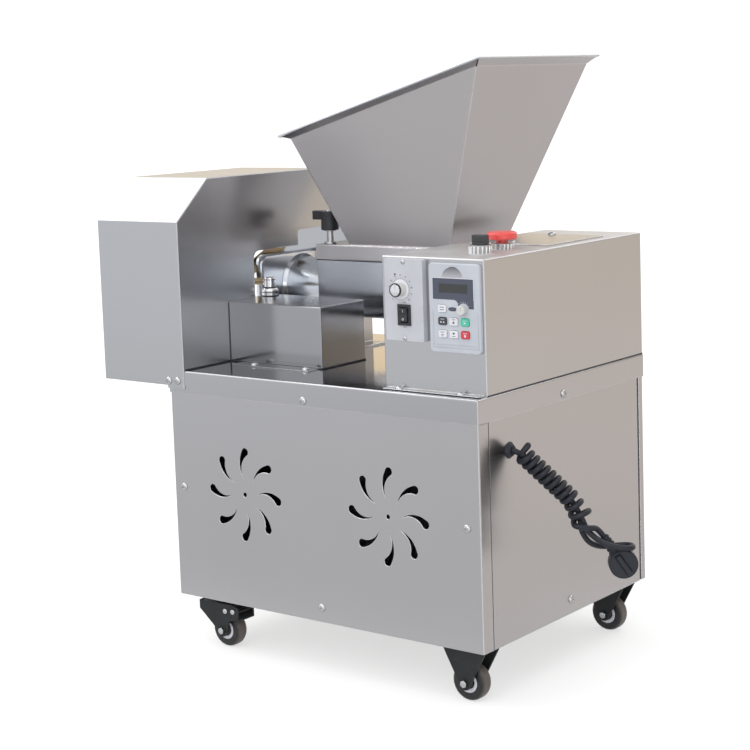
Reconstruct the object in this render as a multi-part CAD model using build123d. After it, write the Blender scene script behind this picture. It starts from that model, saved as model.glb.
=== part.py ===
from build123d import *
import math
import os

# All sizes in mm. While building, X = 0 is the right side of the deck, Y = 0 its front, Z = 0 the floor.

# Cabinet
sheet = 1.5
bend = 2.5
deck_width = 531.5
deck_depth = 412.0
castor_height = 70.0
cabinet_height = 325.0
apron = 32.0
front_return = 24.0
back_return = 12.0
back_gap = 5.0
post_leg = 25.0
post_sheet = 2.0
tray_rise = 2.0
tray_lip = 22.0

# Fan-shaped vents in the front panel
vent_left_inset = 135.5
vent_right_inset = 147.0
vent_height = 159.5
vent_slots = 8
slot_tip_radius = 22.0
slot_bulb_radius = 5.8
slot_bulb_reach = 60.0
slot_bulb_side = 2.8
slot_bow_left = -7.8
slot_bow_right = -3.6
slot_bow_reach = 43.0
vent_eye_radius = 3.2

# Castors
wheel_radius = 25.0
wheel_width = 20.0
rim_radius = 14.5
axle_radius = 4.0
fork_sheet = 2.5
fork_width = 34.0
castor_inset = 24.0
castor_back_inset = 44.0
rigid_axle_inset = 37.0
swivel_axle_inset = 75.5
swivel_trail = 22.0
rigid_plate_length = 66.0
swivel_plate_length = 60.0
swivel_plate_width = 41.0
plate_sheet = 2.5

# Control box
box_width = 160.0
box_right_inset = 1.0
box_front = 23.0
box_back_inset = 1.0
box_height = 172.0
box_foot = 12.0

panels_gap = 7.0
speed_panel_width = 60.0
speed_panel_height = 105.0
speed_panel_depth = 8.0
speed_panel_drop = 2.5
speed_knob_across = 25.0
speed_knob_drop = 39.0
speed_knob_radius = 9.0
speed_knob_height = 12.0
rocker_across = 30.3
rocker_drop = 71.5
rocker_frame_width = 20.0
rocker_frame_height = 27.0
rocker_window_width = 13.0
rocker_window_height = 20.0

inverter_margin = 4.0
inverter_width = 78.0
inverter_height = 113.0
inverter_drop = 6.0
inverter_proud = 5.0
inverter_corner = 6.0
inverter_depth = 55.0
window_inset = 6.7
window_width = 62.0
window_height = 26.5
window_drop = 19.0
key_across = 20.8
key_drop = 57.0
key_column_step = 17.2
key_row_step = 16.0
key_width = 12.5
key_height = 9.5
key_travel = 1.2
key_gap = 0.35
inverter_knob_across = 53.1
inverter_knob_drop = 57.4
inverter_knob_radius = 6.0
recess_radius = 13.0

selector_inset = 55.0
selector_behind = 73.0
stop_inset = 58.0
stop_behind = 127.0
bezel_radius = 14.0
bezel_height = 8.0
stop_radius = 20.0
stop_travel = 4.0

access_left_inset = 21.0
access_right_inset = 15.0
access_behind = 171.0
access_back_inset = 78.0
access_sheet = 2.0

# Feed: trough, screws, outlet
feed_back_inset = 109.0
feed_rise = 89.0
trough_inset = 89.0
trough_half = 72.0
trough_wall = 2.0
trough_rise = 68.5
trough_floor = 40.0
screw_offset = 34.5
screw_radius = 33.5
screw_core = 10.0
screw_pitch = 66.0
screw_left_gap = 10.0
screw_right_gap = 15.0
flight_thickness = 4.0
running_fit = 0.05
bush_radius = 18.0
gear_teeth = 23
gear_width = 14.0
gear_inset = 12.0
gear_tip = 2.4
gear_root = 3.4
chain_inset = 38.0
sprocket_teeth = 18
sprocket_radius = 36.0
sprocket_width = 6.0
chain_gap = 0.6
chain_thickness = 6.0
chain_width = 10.0
motor_rise = 145.0

tube_radius = 42.0
tube_wall = 3.0
head_out = 3.5
head_thickness = 10.0
head_front_reach = 94.0
head_back_reach = 70.0
head_half_height = 52.0
head_corner = 14.0
head_edge = 6.0
nozzle_radius = 20.0
nozzle_lip = 4.0

# Hopper
lid_sheet = 1.5
lid_skirt = 20.0
lid_gap = 0.3
hopper_left_inset = 62.2
hopper_right_inset = 41.4
hopper_half = 71.0
hopper_wall = 2.0
mouth_left_reach = 7.2
mouth_right_reach = 58.9
mouth_left_rise = 156.6
mouth_right_rise = 250.5
hopper_slope = 0.27
rim_out = 12.4
rim_up = 7.6

# Clamp lever
lever_inset = 14.5
stud_radius = 4.0
lever_hub_wide = 13.2
lever_hub_narrow = 12.6
lever_hub_height = 28.0
lever_gap = 20.5
lever_reach = 29.0
lever_arm_height = 13.0
lever_arm_width = 12.0

# Cutter
cover_length = 171.5
cover_depth = 98.0
cover_gap = 36.0
cover_height = 87.0
cover_foot = 26.0
cutter_gap = 11.0
cutter_inset = 19.0
mitre_rise = 20.0
collar_radius = 12.0
collar_height = 12.0
mitre_body_radius = 8.2
mitre_body_height = 15.0
mitre_cavity = 6.8
knife_gap = 4.0
knife_sheet = 3.0
knife_hub_radius = 13.0
knife_reach = 146.0
knife_rest_angle = -66.0
cutter_motor_half = 35.0
cutter_motor_length = 108.0

# Guard over the outlet
guard_out = 127.5
guard_in = 31.5
guard_back_inset = 17.0
guard_drop = 22.0
guard_tab = 4.0
guard_shoulder_rise = 209.0
guard_rise = 267.0
guard_top_front = 64.0
guard_top_back_inset = 85.0
guard_back_shoulder_rise = 190.0
guard_lip = 12.0
window_front_inset = 40.0
window_rise = 65.0
notch_reach = 47.0
notch_rise = 88.0
window_back_inset = 17.0
window_corner = 12.0

# Mains cord, wound into a hank that stands out from the right side and droops
cord_radius = 3.75
gland_inside = 14.0
gland_outside = 4.0
gland_wide = 11.0
gland_neck = 9.0
gland_narrow = 6.5
hank_x = 28.5
hank_y = 75.3
hank_drop = 83.3
hank_heading = 37.7
core_offset = 4.0
wrap_top_along = -15.7
wrap_top_rise = 9.3
wrap_fall = 45.0
wrap_half_width = 9.4
wrap_half_depth = 12.2
wrap_pitch = 9.35
wrap_turns = 8.75
wrap_start = 6.8
wrap_start_angle = 180.0
turnover_depth = 3.0
turnover_radius = 6.5
loose_turns = 2.5
first_loop_along = 53.4
first_loop_drop = 64.4
first_loop_half_width = 10.1
first_loop_half_depth = 12.6
first_loop_fall = 48.5
second_loop_along = 59.75
second_loop_drop = 75.8
second_loop_half_width = 12.0
second_loop_half_depth = 13.2
second_loop_fall = 64.3
plug_along = 112.4
plug_drop = 139.5
plug_fall = 55.7
plug_radius = 18.5
plug_thickness = 20.0
plug_round = 2.0
ridge_high = 5.0
ridge_width = 9.0
ridge_length_share = 1.7
ridge_taper = 22.0
ridge_inset = 1.0
relief_length = 26.0
relief_wide = 7.0
relief_narrow = 5.0
relief_ribs = 5
rib_proud = 0.9
rib_width = 2.2
pin_radius = 2.4
pin_length = 19.0
pin_spacing = 19.0
corner_share = 0.45

# Smaller sizes of the cabinet and castors
side_gap = 0.5
chain_clear = 6.0
cutter_hole_gap = 3.0
wire_hole_x = -60.0
wire_hole_y = 110.0
wire_hole_radius = 15.0
slot_tip_side = -1.0
tread_round = 6.0
wheel_dish = 2.5
wheel_hub = 7.0
hub_proud = 0.6
axle_head = 5.0
axle_head_height = 3.5
axle_nut_height = 5.0
fork_boss = 9.0
race_height = 5.0
race_radius = 20.0
race_gap = 0.3
kingpin_radius = 5.0
crown_back = 42.0
crown_front = 20.0
crown_skirt = 10.0
ear_root = 13.0
ear_root_z = 40.0
ear_reach = 31.0
ear_low = 45.0
ear_high = 61.0
pedal_ahead = 21.0
pedal_pivot_z = 55.0
pedal_gap = 0.6
pedal_pin = 2.0
pedal_barrel = 4.0
pedal_sheet = 2.6
pedal_upper = 9.0
pedal_lower = 16.0
pedal_slope = 36.0

# Smaller sizes of the controls
foot_inset = 5.0
speed_ledge = 6.0
speed_panel_corner = 2.0
knob_shaft = 3.0
knob_gap = 0.4
knob_round = 1.2
pointer_half = 1.0
pointer_proud = 0.8
rocker_flange = 2.0
rocker_frame_proud = 2.0
rocker_depth = 16.0
rocker_pivot_depth = 1.0
rocker_gap = 0.4
rocker_end_proud = 3.2
rocker_middle_proud = 1.2
inverter_ledge = 5.0
inverter_round = 1.5
window_sunk = 0.8
window_proud = 0.2
recess_gap = 2.0
recess_depth = 1.5
key_proud = 1.4
key_depth = 5.0
key_corner = 2.0
small_shaft = 2.0
inverter_knob_height = 8.0
button_hole = 11.0
button_depth = 22.0
stem_radius = 8.0
bezel_round = 2.0
selector_disc_radius = 11.0
selector_disc_height = 4.6
grip_width = 9.0
grip_height = 10.0
grip_round = 1.5
stop_height = 10.0
stop_crown = 4.0
stop_under = 2.0
access_ledge = 10.0

# Smaller sizes of the feed, its drive and the cutter
trough_corner = 38.0
lug_height = 12.0
lug_reach = 10.0
bracket_inset = 14.0
bracket_sheet = 3.0
bracket_foot = 30.0
bracket_width = 64.0
flight_root_depth = 1.0
tooth_root_share = 0.32
tooth_tip_share = 0.11
sprocket_tip = 3.0
sprocket_root = 4.0
shaft_past = 4.0
bush_flange = 6.0
bush_flange_sheet = 4.0
gearbox_inset = 1.0
gearbox_length = 110.0
gearbox_depth = 120.0
gearbox_height = 160.0
gearbox_corner = 10.0
motor_end_inset = 61.5
motor_radius = 65.0
cradle_share = 0.6
cradle_inset = 40.0
output_radius = 12.0
output_depth = 30.0
weld_leg = 5.0
stud_gap = 0.6
washer_radius = 9.0
washer_sheet = 2.7
lever_round = 1.5
drive_radius = 5.0
shaft_step = 2.4
cutter_motor_corner = 6.0
mitre_base = 5.0
mitre_radius = 4.0
mitre_inner = 2.4
mitre_slack = 1.0
mitre_wall = 1.4
mitre_chamfer = 1.0
collar_round = 4.0
boss_proud = 2.0
knife_hub_length = 12.0
knife_root_width = 20.0
knife_blade_width = 36.0
knife_blade_length = 55.0
guard_bend = 2.0
notch_corner = 6.0
passage_gap = 2.0
strand_depth = 2.0
tail_lead = 14.0
relief_sunk = 2.0
weld_chamfer_share = 0.98

# Heights that follow from the sizes above
tray_z = castor_height + tray_rise
deck_top = castor_height + cabinet_height
deck_under = deck_top - sheet
box_top = deck_top + box_height
cover_top = deck_top + cover_height
mitre_z = cover_top + mitre_rise
feed_z = deck_top + feed_rise
trough_top = feed_z + trough_rise
lid_top = trough_top + lid_sheet
motor_z = castor_height + motor_rise
guard_low = deck_top - guard_drop
guard_shoulder = deck_top + guard_shoulder_rise
guard_top = deck_top + guard_rise
guard_back_shoulder = deck_top + guard_back_shoulder_rise
window_top = feed_z + window_rise
notch_top = feed_z + notch_rise
mouth_left_z = lid_top + mouth_left_rise
mouth_right_z = lid_top + mouth_right_rise
hank_z = deck_top - hank_drop

# Places from left to right
body_left = -deck_width + sheet
body_right = -sheet
vent_left_x = -deck_width + vent_left_inset
vent_right_x = -vent_right_inset
rigid_axle_x = -rigid_axle_inset
swivel_axle_x = -deck_width + swivel_axle_inset
box_right = -box_right_inset
box_left = box_right - box_width
inverter_left = box_right - inverter_margin - inverter_width
speed_panel_left = inverter_left - panels_gap - speed_panel_width
speed_knob_x = speed_panel_left + speed_knob_across
rocker_x = speed_panel_left + rocker_across
window_left = inverter_left + window_inset
inverter_knob_x = inverter_left + inverter_knob_across
selector_x = box_right - selector_inset
stop_x = box_right - stop_inset
access_left = box_left + access_left_inset
access_right = box_right - access_right_inset
trough_left = -deck_width + trough_inset
screw_left = trough_left + screw_left_gap
screw_right = box_left - screw_right_gap
gear_left = box_left + gear_inset
chain_x = box_left + chain_inset
gearbox_right = box_left + gearbox_inset
gearbox_left = gearbox_right - gearbox_length
motor_end = -deck_width + motor_end_inset
head_x = -deck_width - head_out
head_left = head_x - head_thickness
nozzle_left = head_left - nozzle_lip
knife_plane = nozzle_left - knife_gap
hopper_left = trough_left + hopper_left_inset
hopper_right = box_left - hopper_right_inset
mouth_left = trough_left - mouth_left_reach
mouth_right = box_left + mouth_right_reach
lever_x = trough_left + lever_inset
guard_left = -deck_width - guard_out
guard_right = -deck_width + guard_in
cover_right = guard_right + cover_length
cutter_x = guard_right + cutter_gap

# Places from front to back
body_front = sheet
body_back = deck_depth - sheet
castor_back_y = deck_depth - castor_back_inset
box_back = deck_depth - box_back_inset
selector_y = box_front + selector_behind
stop_y = box_front + stop_behind
access_front = box_front + access_behind
access_back = box_back - access_back_inset
feed_y = deck_depth - feed_back_inset
trough_front = feed_y - trough_half
trough_back = feed_y + trough_half
lever_y = trough_front + lever_inset
head_front = feed_y - head_front_reach
head_back = feed_y + head_back_reach
cover_back = trough_front - cover_gap
cover_front = cover_back - cover_depth
cutter_y = cover_back - cutter_inset
guard_back = deck_depth - guard_back_inset
guard_top_back = guard_back - guard_top_back_inset
window_front = cover_back - window_front_inset
window_back = guard_back - window_back_inset
notch_front = feed_y - notch_reach


def block(x0, x1, y0, y1, z0, z1):
    middle = Pos((x0 + x1) / 2, (y0 + y1) / 2, (z0 + z1) / 2)
    return middle * Box(abs(x1 - x0), abs(y1 - y0), abs(z1 - z0))


def rod_x(y, z, radius, x0, x1):
    return Pos((x0 + x1) / 2, y, z) * Rot(0, 90, 0) * Cylinder(radius, abs(x1 - x0))


def rod_y(x, z, radius, y0, y1):
    return Pos(x, (y0 + y1) / 2, z) * Rot(90, 0, 0) * Cylinder(radius, abs(y1 - y0))


def rod_z(x, y, radius, z0, z1):
    return Pos(x, y, (z0 + z1) / 2) * Cylinder(radius, abs(z1 - z0))


def edges_along(shape, axis):
    return shape.edges().filter_by(axis)


def top_edges(shape):
    return shape.faces().sort_by(Axis.Z)[-1].edges()


def plate_xz(points, y0, y1):
    face = Plane.XZ * make_face(Polyline(*points, close=True))
    return Pos(0, y1, 0) * extrude(face, y1 - y0)


def plate_yz(points, x0, x1):
    face = Plane.YZ * make_face(Polyline(*points, close=True))
    return Pos(x0, 0, 0) * extrude(face, x1 - x0)


def polygon_solid(low, high):
    low_face = Face(Wire.make_polygon(low, close=True))
    high_face = Face(Wire.make_polygon(high, close=True))
    return loft([low_face, high_face], ruled=True)


nodes = {}
front_screw_y = feed_y - screw_offset
back_screw_y = feed_y + screw_offset
chain_inner = sprocket_radius + chain_gap
chain_outer = chain_inner + chain_thickness

# Deck: a tray turned upside down, with holes for the chain, the cutter shaft and the wires
deck = block(-deck_width, 0, 0, deck_depth, deck_top - apron, deck_top)
deck = fillet(edges_along(deck, Axis.Z) + top_edges(deck), bend)
deck -= block(body_left, body_right, body_front, body_back, deck_top - apron, deck_under)
chain_slot_x = chain_width / 2 + chain_clear
chain_slot_y = chain_outer + chain_clear
deck -= block(chain_x - chain_slot_x, chain_x + chain_slot_x, front_screw_y - chain_slot_y,
              front_screw_y + chain_slot_y, deck_under, deck_top)
deck -= rod_z(cutter_x, cutter_y, drive_radius + cutter_hole_gap, deck_under, deck_top)
deck -= rod_z(wire_hole_x, wire_hole_y, wire_hole_radius, deck_under, deck_top)
nodes["deck"] = deck


# Front panel: one sheet folded round both corners, with the two fan-shaped vents
def vent_slot():
    def round_bulb(angle):
        turn = math.radians(angle)
        across = slot_bulb_side + slot_bulb_radius * math.cos(turn)
        return across, slot_bulb_reach + slot_bulb_radius * math.sin(turn)

    tip = (slot_tip_side, slot_tip_radius)
    left_join, crown_top, right_join = round_bulb(165), round_bulb(62), round_bulb(-40)
    left_side = ThreePointArc(tip, (slot_bow_left, slot_bow_reach), left_join)
    crown = ThreePointArc(left_join, crown_top, right_join)
    right_side = ThreePointArc(right_join, (slot_bow_right, slot_bow_reach), tip)
    return make_face(left_side + crown + right_side)


def vent_cut(x):
    slot = vent_slot()
    fan = Circle(vent_eye_radius)
    for index in range(vent_slots):
        fan += Rot(0, 0, index * 360.0 / vent_slots) * slot
    placed = Pos(x, body_front + 2 * sheet, castor_height + vent_height) * (Plane.XZ * fan)
    return extrude(placed, 3 * sheet)


def folded_panel(y_outer, y_inner, return_end):
    low, high = min(y_outer, return_end), max(y_outer, return_end)
    panel = block(body_left, body_right, low, high, castor_height, deck_under)
    outer_edges = [e for e in edges_along(panel, Axis.Z) if abs(e.center().Y - y_outer) < sheet / 2]
    panel = fillet(outer_edges, bend)
    inner_low, inner_high = (y_inner, high) if y_outer < return_end else (low, y_inner)
    return panel - block(body_left + sheet, body_right - sheet, inner_low, inner_high,
                         castor_height, deck_under)


back_return_end = body_back - back_return
front_panel = folded_panel(body_front, body_front + sheet, front_return)
for vent_x in (vent_left_x, vent_right_x):
    front_panel -= vent_cut(vent_x)
nodes["front_panel"] = front_panel
nodes["back_panel"] = folded_panel(body_back, body_back - sheet, back_return_end)

# Side panels, set between the two folded ones; the right one leaves a gap at its back edge
side_start = front_return + side_gap
nodes["right_panel"] = block(body_right - sheet, body_right, side_start, back_return_end - back_gap,
                             castor_height, deck_under)
nodes["left_panel"] = block(body_left, body_left + sheet, side_start, back_return_end - side_gap,
                            castor_height, deck_under)

# Base frame: floor tray with its lip and four corner angles
inner_left = body_left + sheet
inner_right = body_right - sheet
inner_front = body_front + sheet
inner_back = body_back - sheet
floor_top = tray_z + post_sheet
frame = block(inner_left, inner_right, inner_front, inner_back, tray_z, tray_z + tray_lip)
frame -= block(inner_left + sheet, inner_right - sheet, inner_front + sheet, inner_back - sheet,
               floor_top, tray_z + tray_lip)
for corner_x, step_x in ((inner_left, 1), (inner_right, -1)):
    for corner_y, step_y in ((inner_front, 1), (inner_back, -1)):
        end_x = corner_x + step_x * post_leg
        end_y = corner_y + step_y * post_leg
        post = block(corner_x, end_x, corner_y, end_y, tray_z, deck_under)
        post -= block(corner_x + step_x * post_sheet, end_x, corner_y + step_y * post_sheet, end_y,
                      floor_top, deck_under)
        frame += post
nodes["base_frame"] = frame


# Castors
def wheel_at(x, y):
    wheel = rod_y(x, wheel_radius, wheel_radius, y - wheel_width / 2, y + wheel_width / 2)
    wheel = fillet(wheel.edges().filter_by(GeomType.CIRCLE), tread_round)
    for side in (-1, 1):
        face_y = y + side * wheel_width / 2
        wheel -= rod_y(x, wheel_radius, rim_radius, face_y - side * wheel_dish, face_y)
        wheel += rod_y(x, wheel_radius, wheel_hub, face_y - side * wheel_dish, face_y + side * hub_proud)
    return wheel - rod_y(x, wheel_radius, axle_radius + running_fit, y - wheel_width, y + wheel_width)


def axle_at(x, y):
    end = fork_width / 2
    axle = rod_y(x, wheel_radius, axle_radius, y - end, y + end)
    axle += rod_y(x, wheel_radius, axle_head, y - end - axle_head_height, y - end)
    return axle + rod_y(x, wheel_radius, axle_head, y + end, y + end + axle_nut_height)


def fork_sides(outline, x, y):
    placed = [(x + along, level) for along, level in outline]
    cheeks = []
    for side in (-1, 1):
        outer = y + side * fork_width / 2
        inner = outer - side * fork_sheet
        cheek = plate_xz(placed, min(inner, outer), max(inner, outer))
        cheek += rod_y(x, wheel_radius, fork_boss, inner, outer)
        cheeks.append(cheek - rod_y(x, wheel_radius, axle_radius, inner, outer))
    return cheeks[0] + cheeks[1]


plate_low = tray_z - plate_sheet
rigid_half = rigid_plate_length / 2
rigid_outline = [(-rigid_half, plate_low), (-fork_boss, wheel_radius), (fork_boss, wheel_radius),
                 (rigid_half, plate_low)]


def rigid_castor(x, y):
    half = fork_width / 2
    top = block(x - rigid_half, x + rigid_half, y - half, y + half, plate_low, tray_z)
    return top + fork_sides(rigid_outline, x, y)


castor_y = (castor_inset, castor_back_y)
nodes["rigid_forks"] = [rigid_castor(rigid_axle_x, y) for y in castor_y]
nodes["rigid_axles"] = [axle_at(rigid_axle_x, y) for y in castor_y]
nodes["wheel_front_right"] = wheel_at(rigid_axle_x, castor_y[0])
nodes["wheel_back_right"] = wheel_at(rigid_axle_x, castor_y[1])

kingpin_x = swivel_axle_x - swivel_trail
race_low = plate_low - race_height
crown_low = race_low - fork_sheet
swivel_outline = [
    (-crown_back, race_low), (-crown_back, crown_low - crown_skirt), (-fork_boss, wheel_radius),
    (fork_boss, wheel_radius), (ear_root, ear_root_z), (ear_reach, ear_low), (ear_reach, ear_high),
    (crown_front, race_low),
]


def swivel_plate(y):
    half = swivel_plate_length / 2
    side = swivel_plate_width / 2
    top = block(kingpin_x - half, kingpin_x + half, y - side, y + side, plate_low, tray_z)
    race = rod_z(kingpin_x, y, race_radius, race_low + race_gap, plate_low)
    return top + race + rod_z(kingpin_x, y, kingpin_radius, crown_low - fork_sheet, plate_low)


def swivel_fork(y):
    half = fork_width / 2
    crown = block(swivel_axle_x - crown_back, swivel_axle_x + crown_front, y - half, y + half,
                  crown_low, race_low)
    crown -= rod_z(kingpin_x, y, kingpin_radius + running_fit, crown_low, race_low)
    return crown + fork_sides(swivel_outline, swivel_axle_x, y)


pedal_pivot_x = swivel_axle_x + pedal_ahead
pedal_half = fork_width / 2 - fork_sheet - pedal_gap


def brake_pedal(y):
    pedal = rod_y(pedal_pivot_x, pedal_pivot_z, pedal_barrel, y - pedal_half, y + pedal_half)
    half_sheet = pedal_sheet / 2
    pedal += block(pedal_pivot_x, pedal_pivot_x + pedal_upper, y - pedal_half, y + pedal_half,
                   pedal_pivot_z - half_sheet, pedal_pivot_z + half_sheet)
    lower = block(0, pedal_lower, y - pedal_half, y + pedal_half, -half_sheet, half_sheet)
    pedal += Pos(pedal_pivot_x, 0, pedal_pivot_z - half_sheet) * Rot(0, pedal_slope, 0) * lower
    bore = pedal_pin + running_fit
    return pedal - rod_y(pedal_pivot_x, pedal_pivot_z, bore, y - pedal_half, y + pedal_half)


def pedal_pivot(y):
    reach = fork_width / 2 - fork_sheet
    return rod_y(pedal_pivot_x, pedal_pivot_z, pedal_pin, y - reach, y + reach)


nodes["swivel_plates"] = [swivel_plate(y) for y in castor_y]
for place, y in zip(("front", "back"), castor_y):
    nodes["swivel_fork_" + place] = [swivel_fork(y), axle_at(swivel_axle_x, y), pedal_pivot(y)]
    nodes["wheel_" + place + "_left"] = wheel_at(swivel_axle_x, y)
    nodes["brake_pedal_" + place] = brake_pedal(y)

# Control box: a folded cover open below, with a foot along the front
box = block(box_left, box_right, box_front, box_back, deck_top, box_top)
box = fillet(edges_along(box, Axis.Z) + top_edges(box), bend)
box -= block(box_left + sheet, box_right - sheet, box_front + sheet, box_back - sheet,
             deck_top, box_top - sheet)
box += block(box_left + foot_inset, box_right - foot_inset, box_front - box_foot, box_front + sheet,
             deck_top, deck_top + sheet)
speed_top = box_top - speed_panel_drop
speed_right = speed_panel_left + speed_panel_width
speed_low = speed_top - speed_panel_height
box -= block(speed_panel_left + speed_ledge, speed_right - speed_ledge, box_front, box_front + sheet,
             speed_low + speed_ledge, speed_top - speed_ledge)
inverter_top = box_top - inverter_drop
inverter_right = inverter_left + inverter_width
inverter_low = inverter_top - inverter_height
box -= block(inverter_left + inverter_ledge, inverter_right - inverter_ledge, box_front, box_front + sheet,
             inverter_low + inverter_ledge, inverter_top - inverter_ledge)
for hole_x, hole_y in ((selector_x, selector_y), (stop_x, stop_y)):
    box -= rod_z(hole_x, hole_y, button_hole, box_top - sheet, box_top)
box -= block(access_left + access_ledge, access_right - access_ledge, access_front + access_ledge,
             access_back - access_ledge, box_top - sheet, box_top)
for y in (front_screw_y, back_screw_y):
    box -= rod_x(y, feed_z, bush_radius, box_left, box_left + sheet)
nodes["control_box"] = box
access_top = box_top + access_sheet
nodes["access_plate"] = block(access_left, access_right, access_front, access_back, box_top, access_top)


# Speed control: panel, knob and rocker switch
def turned_knob(x, z, face_y, radius, height, shaft, shaft_end):
    cap = rod_y(x, z, radius, face_y - height, face_y - knob_gap)
    cap = fillet(cap.edges().sort_by(Axis.Y)[:1], knob_round)
    front = face_y - height
    pointer = block(x - pointer_half, x + pointer_half, front - pointer_proud, front + knob_round,
                    z, z + radius - knob_round)
    return cap + pointer + rod_y(x, z, shaft, face_y - knob_gap, shaft_end)


panel_face = box_front - speed_panel_depth
speed_knob_z = speed_top - speed_knob_drop
rocker_z = speed_top - rocker_drop
panel = block(speed_panel_left, speed_right, panel_face, box_front, speed_low, speed_top)
panel = fillet(edges_along(panel, Axis.Y), speed_panel_corner)
panel -= rod_y(speed_knob_x, speed_knob_z, knob_shaft + running_fit, panel_face, box_front)
frame_half_w = rocker_frame_width / 2
frame_half_h = rocker_frame_height / 2
neck_half_w = frame_half_w - rocker_flange
neck_half_h = frame_half_h - rocker_flange
panel -= block(rocker_x - neck_half_w, rocker_x + neck_half_w, panel_face, box_front,
               rocker_z - neck_half_h, rocker_z + neck_half_h)
nodes["speed_panel"] = panel
nodes["speed_knob"] = turned_knob(speed_knob_x, speed_knob_z, panel_face, speed_knob_radius,
                                  speed_knob_height, knob_shaft, box_front + knob_shaft)

window_half_w = rocker_window_width / 2
window_half_h = rocker_window_height / 2
frame_face = panel_face - rocker_frame_proud
rocker_frame = block(rocker_x - frame_half_w, rocker_x + frame_half_w, frame_face, panel_face,
                     rocker_z - frame_half_h, rocker_z + frame_half_h)
rocker_frame += block(rocker_x - neck_half_w, rocker_x + neck_half_w, panel_face, panel_face + rocker_depth,
                      rocker_z - neck_half_h, rocker_z + neck_half_h)
rocker_frame -= block(rocker_x - window_half_w, rocker_x + window_half_w, frame_face,
                      panel_face + rocker_depth - rocker_flange,
                      rocker_z - window_half_h, rocker_z + window_half_h)
nodes["rocker_frame"] = rocker_frame

rocker_pivot_y = panel_face + rocker_pivot_depth
rocker_round = window_half_h - rocker_gap
paddle = rod_x(rocker_pivot_y, rocker_z, rocker_round, rocker_x - window_half_w + rocker_gap,
               rocker_x + window_half_w - rocker_gap)
paddle_ends = frame_face - rocker_end_proud
paddle_dip = frame_face - rocker_middle_proud
paddle_back = rocker_pivot_y + rocker_round / 2
paddle_low = rocker_z - window_half_h
paddle_high = rocker_z + window_half_h
paddle_keep = [(paddle_ends, paddle_low), (paddle_dip, rocker_z), (paddle_ends, paddle_high),
               (paddle_back, paddle_high), (paddle_back, paddle_low)]
nodes["rocker"] = paddle & plate_yz(paddle_keep, rocker_x - window_half_w, rocker_x + window_half_w)

# Motor inverter with its window and keys
inverter_face = box_front - inverter_proud
inverter = block(inverter_left, inverter_right, inverter_face, box_front, inverter_low, inverter_top)
inverter = fillet(edges_along(inverter, Axis.Y), inverter_corner)
inverter = fillet(inverter.faces().sort_by(Axis.Y)[0].edges(), inverter_round)
inverter += block(inverter_left + inverter_ledge, inverter_right - inverter_ledge,
                  box_front, box_front + inverter_depth,
                  inverter_low + inverter_ledge, inverter_top - inverter_ledge)
window_top_z = inverter_top - window_drop
window_low_z = window_top_z - window_height
window_right = window_left + window_width
window_back_y = inverter_face + window_sunk
inverter -= block(window_left, window_right, inverter_face, window_back_y, window_low_z, window_top_z)
recess_z = window_top_z + recess_gap
recess_back = inverter_face + recess_depth
recess = rod_y((window_left + window_right) / 2, recess_z, recess_radius, inverter_face, recess_back)
recess &= block(inverter_left, inverter_right, inverter_face, recess_back, recess_z, inverter_top)
inverter -= recess
key_rows = (("key_program",), ("key_shift", "key_up", "key_run"), ("key_enter", "key_down", "key_stop"))
key_front = inverter_face - key_proud
key_back = key_front + key_depth


def key_block(x, z, grow, y0, y1):
    half_w = key_width / 2 + grow
    half_h = key_height / 2 + grow
    key = block(x - half_w, x + half_w, y0, y1, z - half_h, z + half_h)
    return fillet(edges_along(key, Axis.Y), key_corner + grow)


key_room_end = key_back + key_travel + key_gap
key_z = inverter_top - key_drop
for key_row in key_rows:
    key_x = inverter_left + key_across
    for key_name in key_row:
        inverter -= key_block(key_x, key_z, key_gap, inverter_face, key_room_end)
        nodes[key_name] = key_block(key_x, key_z, 0.0, key_front, key_back)
        key_x += key_column_step
    key_z -= key_row_step
inverter_knob_z = inverter_top - inverter_knob_drop
small_shaft_end = inverter_face + inverter_knob_height
inverter -= rod_y(inverter_knob_x, inverter_knob_z, small_shaft + running_fit, inverter_face,
                  small_shaft_end + knob_gap)
nodes["inverter"] = inverter
nodes["inverter_window"] = block(window_left, window_right, inverter_face - window_proud, window_back_y,
                                 window_low_z, window_top_z)
nodes["inverter_knob"] = turned_knob(inverter_knob_x, inverter_knob_z, inverter_face, inverter_knob_radius,
                                     inverter_knob_height, small_shaft, small_shaft_end)

# Selector switch and emergency stop on top of the box
button_low = box_top - button_depth
bezel_top = box_top + bezel_height


def bezel(x, y):
    ring = rod_z(x, y, bezel_radius, box_top, bezel_top)
    ring = fillet(ring.edges().sort_by(Axis.Z)[-1:], bezel_round)
    ring += rod_z(x, y, button_hole, button_low, box_top)
    return ring - rod_z(x, y, stem_radius + running_fit, button_low, bezel_top)


nodes["button_bezels"] = [bezel(selector_x, selector_y), bezel(stop_x, stop_y)]
stem_low = button_low + stop_travel + knob_gap
disc_low = bezel_top + knob_gap
disc_top = disc_low + selector_disc_height
selector = rod_z(selector_x, selector_y, stem_radius, stem_low, disc_low)
selector += rod_z(selector_x, selector_y, selector_disc_radius, disc_low, disc_top)
grip_half = grip_width / 2
grip = block(selector_x - selector_disc_radius, selector_x + selector_disc_radius, selector_y - grip_half,
             selector_y + grip_half, disc_top, disc_top + grip_height)
nodes["selector"] = selector + fillet(edges_along(grip, Axis.Z) + top_edges(grip), grip_round)
cap_low = bezel_top + stop_travel + knob_gap
cap_top = cap_low + stop_height
stop_cap = rod_z(stop_x, stop_y, stop_radius, cap_low, cap_top)
stop_cap = fillet(stop_cap.edges().sort_by(Axis.Z)[-1:], stop_crown)
stop_cap = fillet(stop_cap.edges().sort_by(Axis.Z)[:1], stop_under)
nodes["stop_button"] = rod_z(stop_x, stop_y, stem_radius, stem_low, cap_low) + stop_cap

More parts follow.
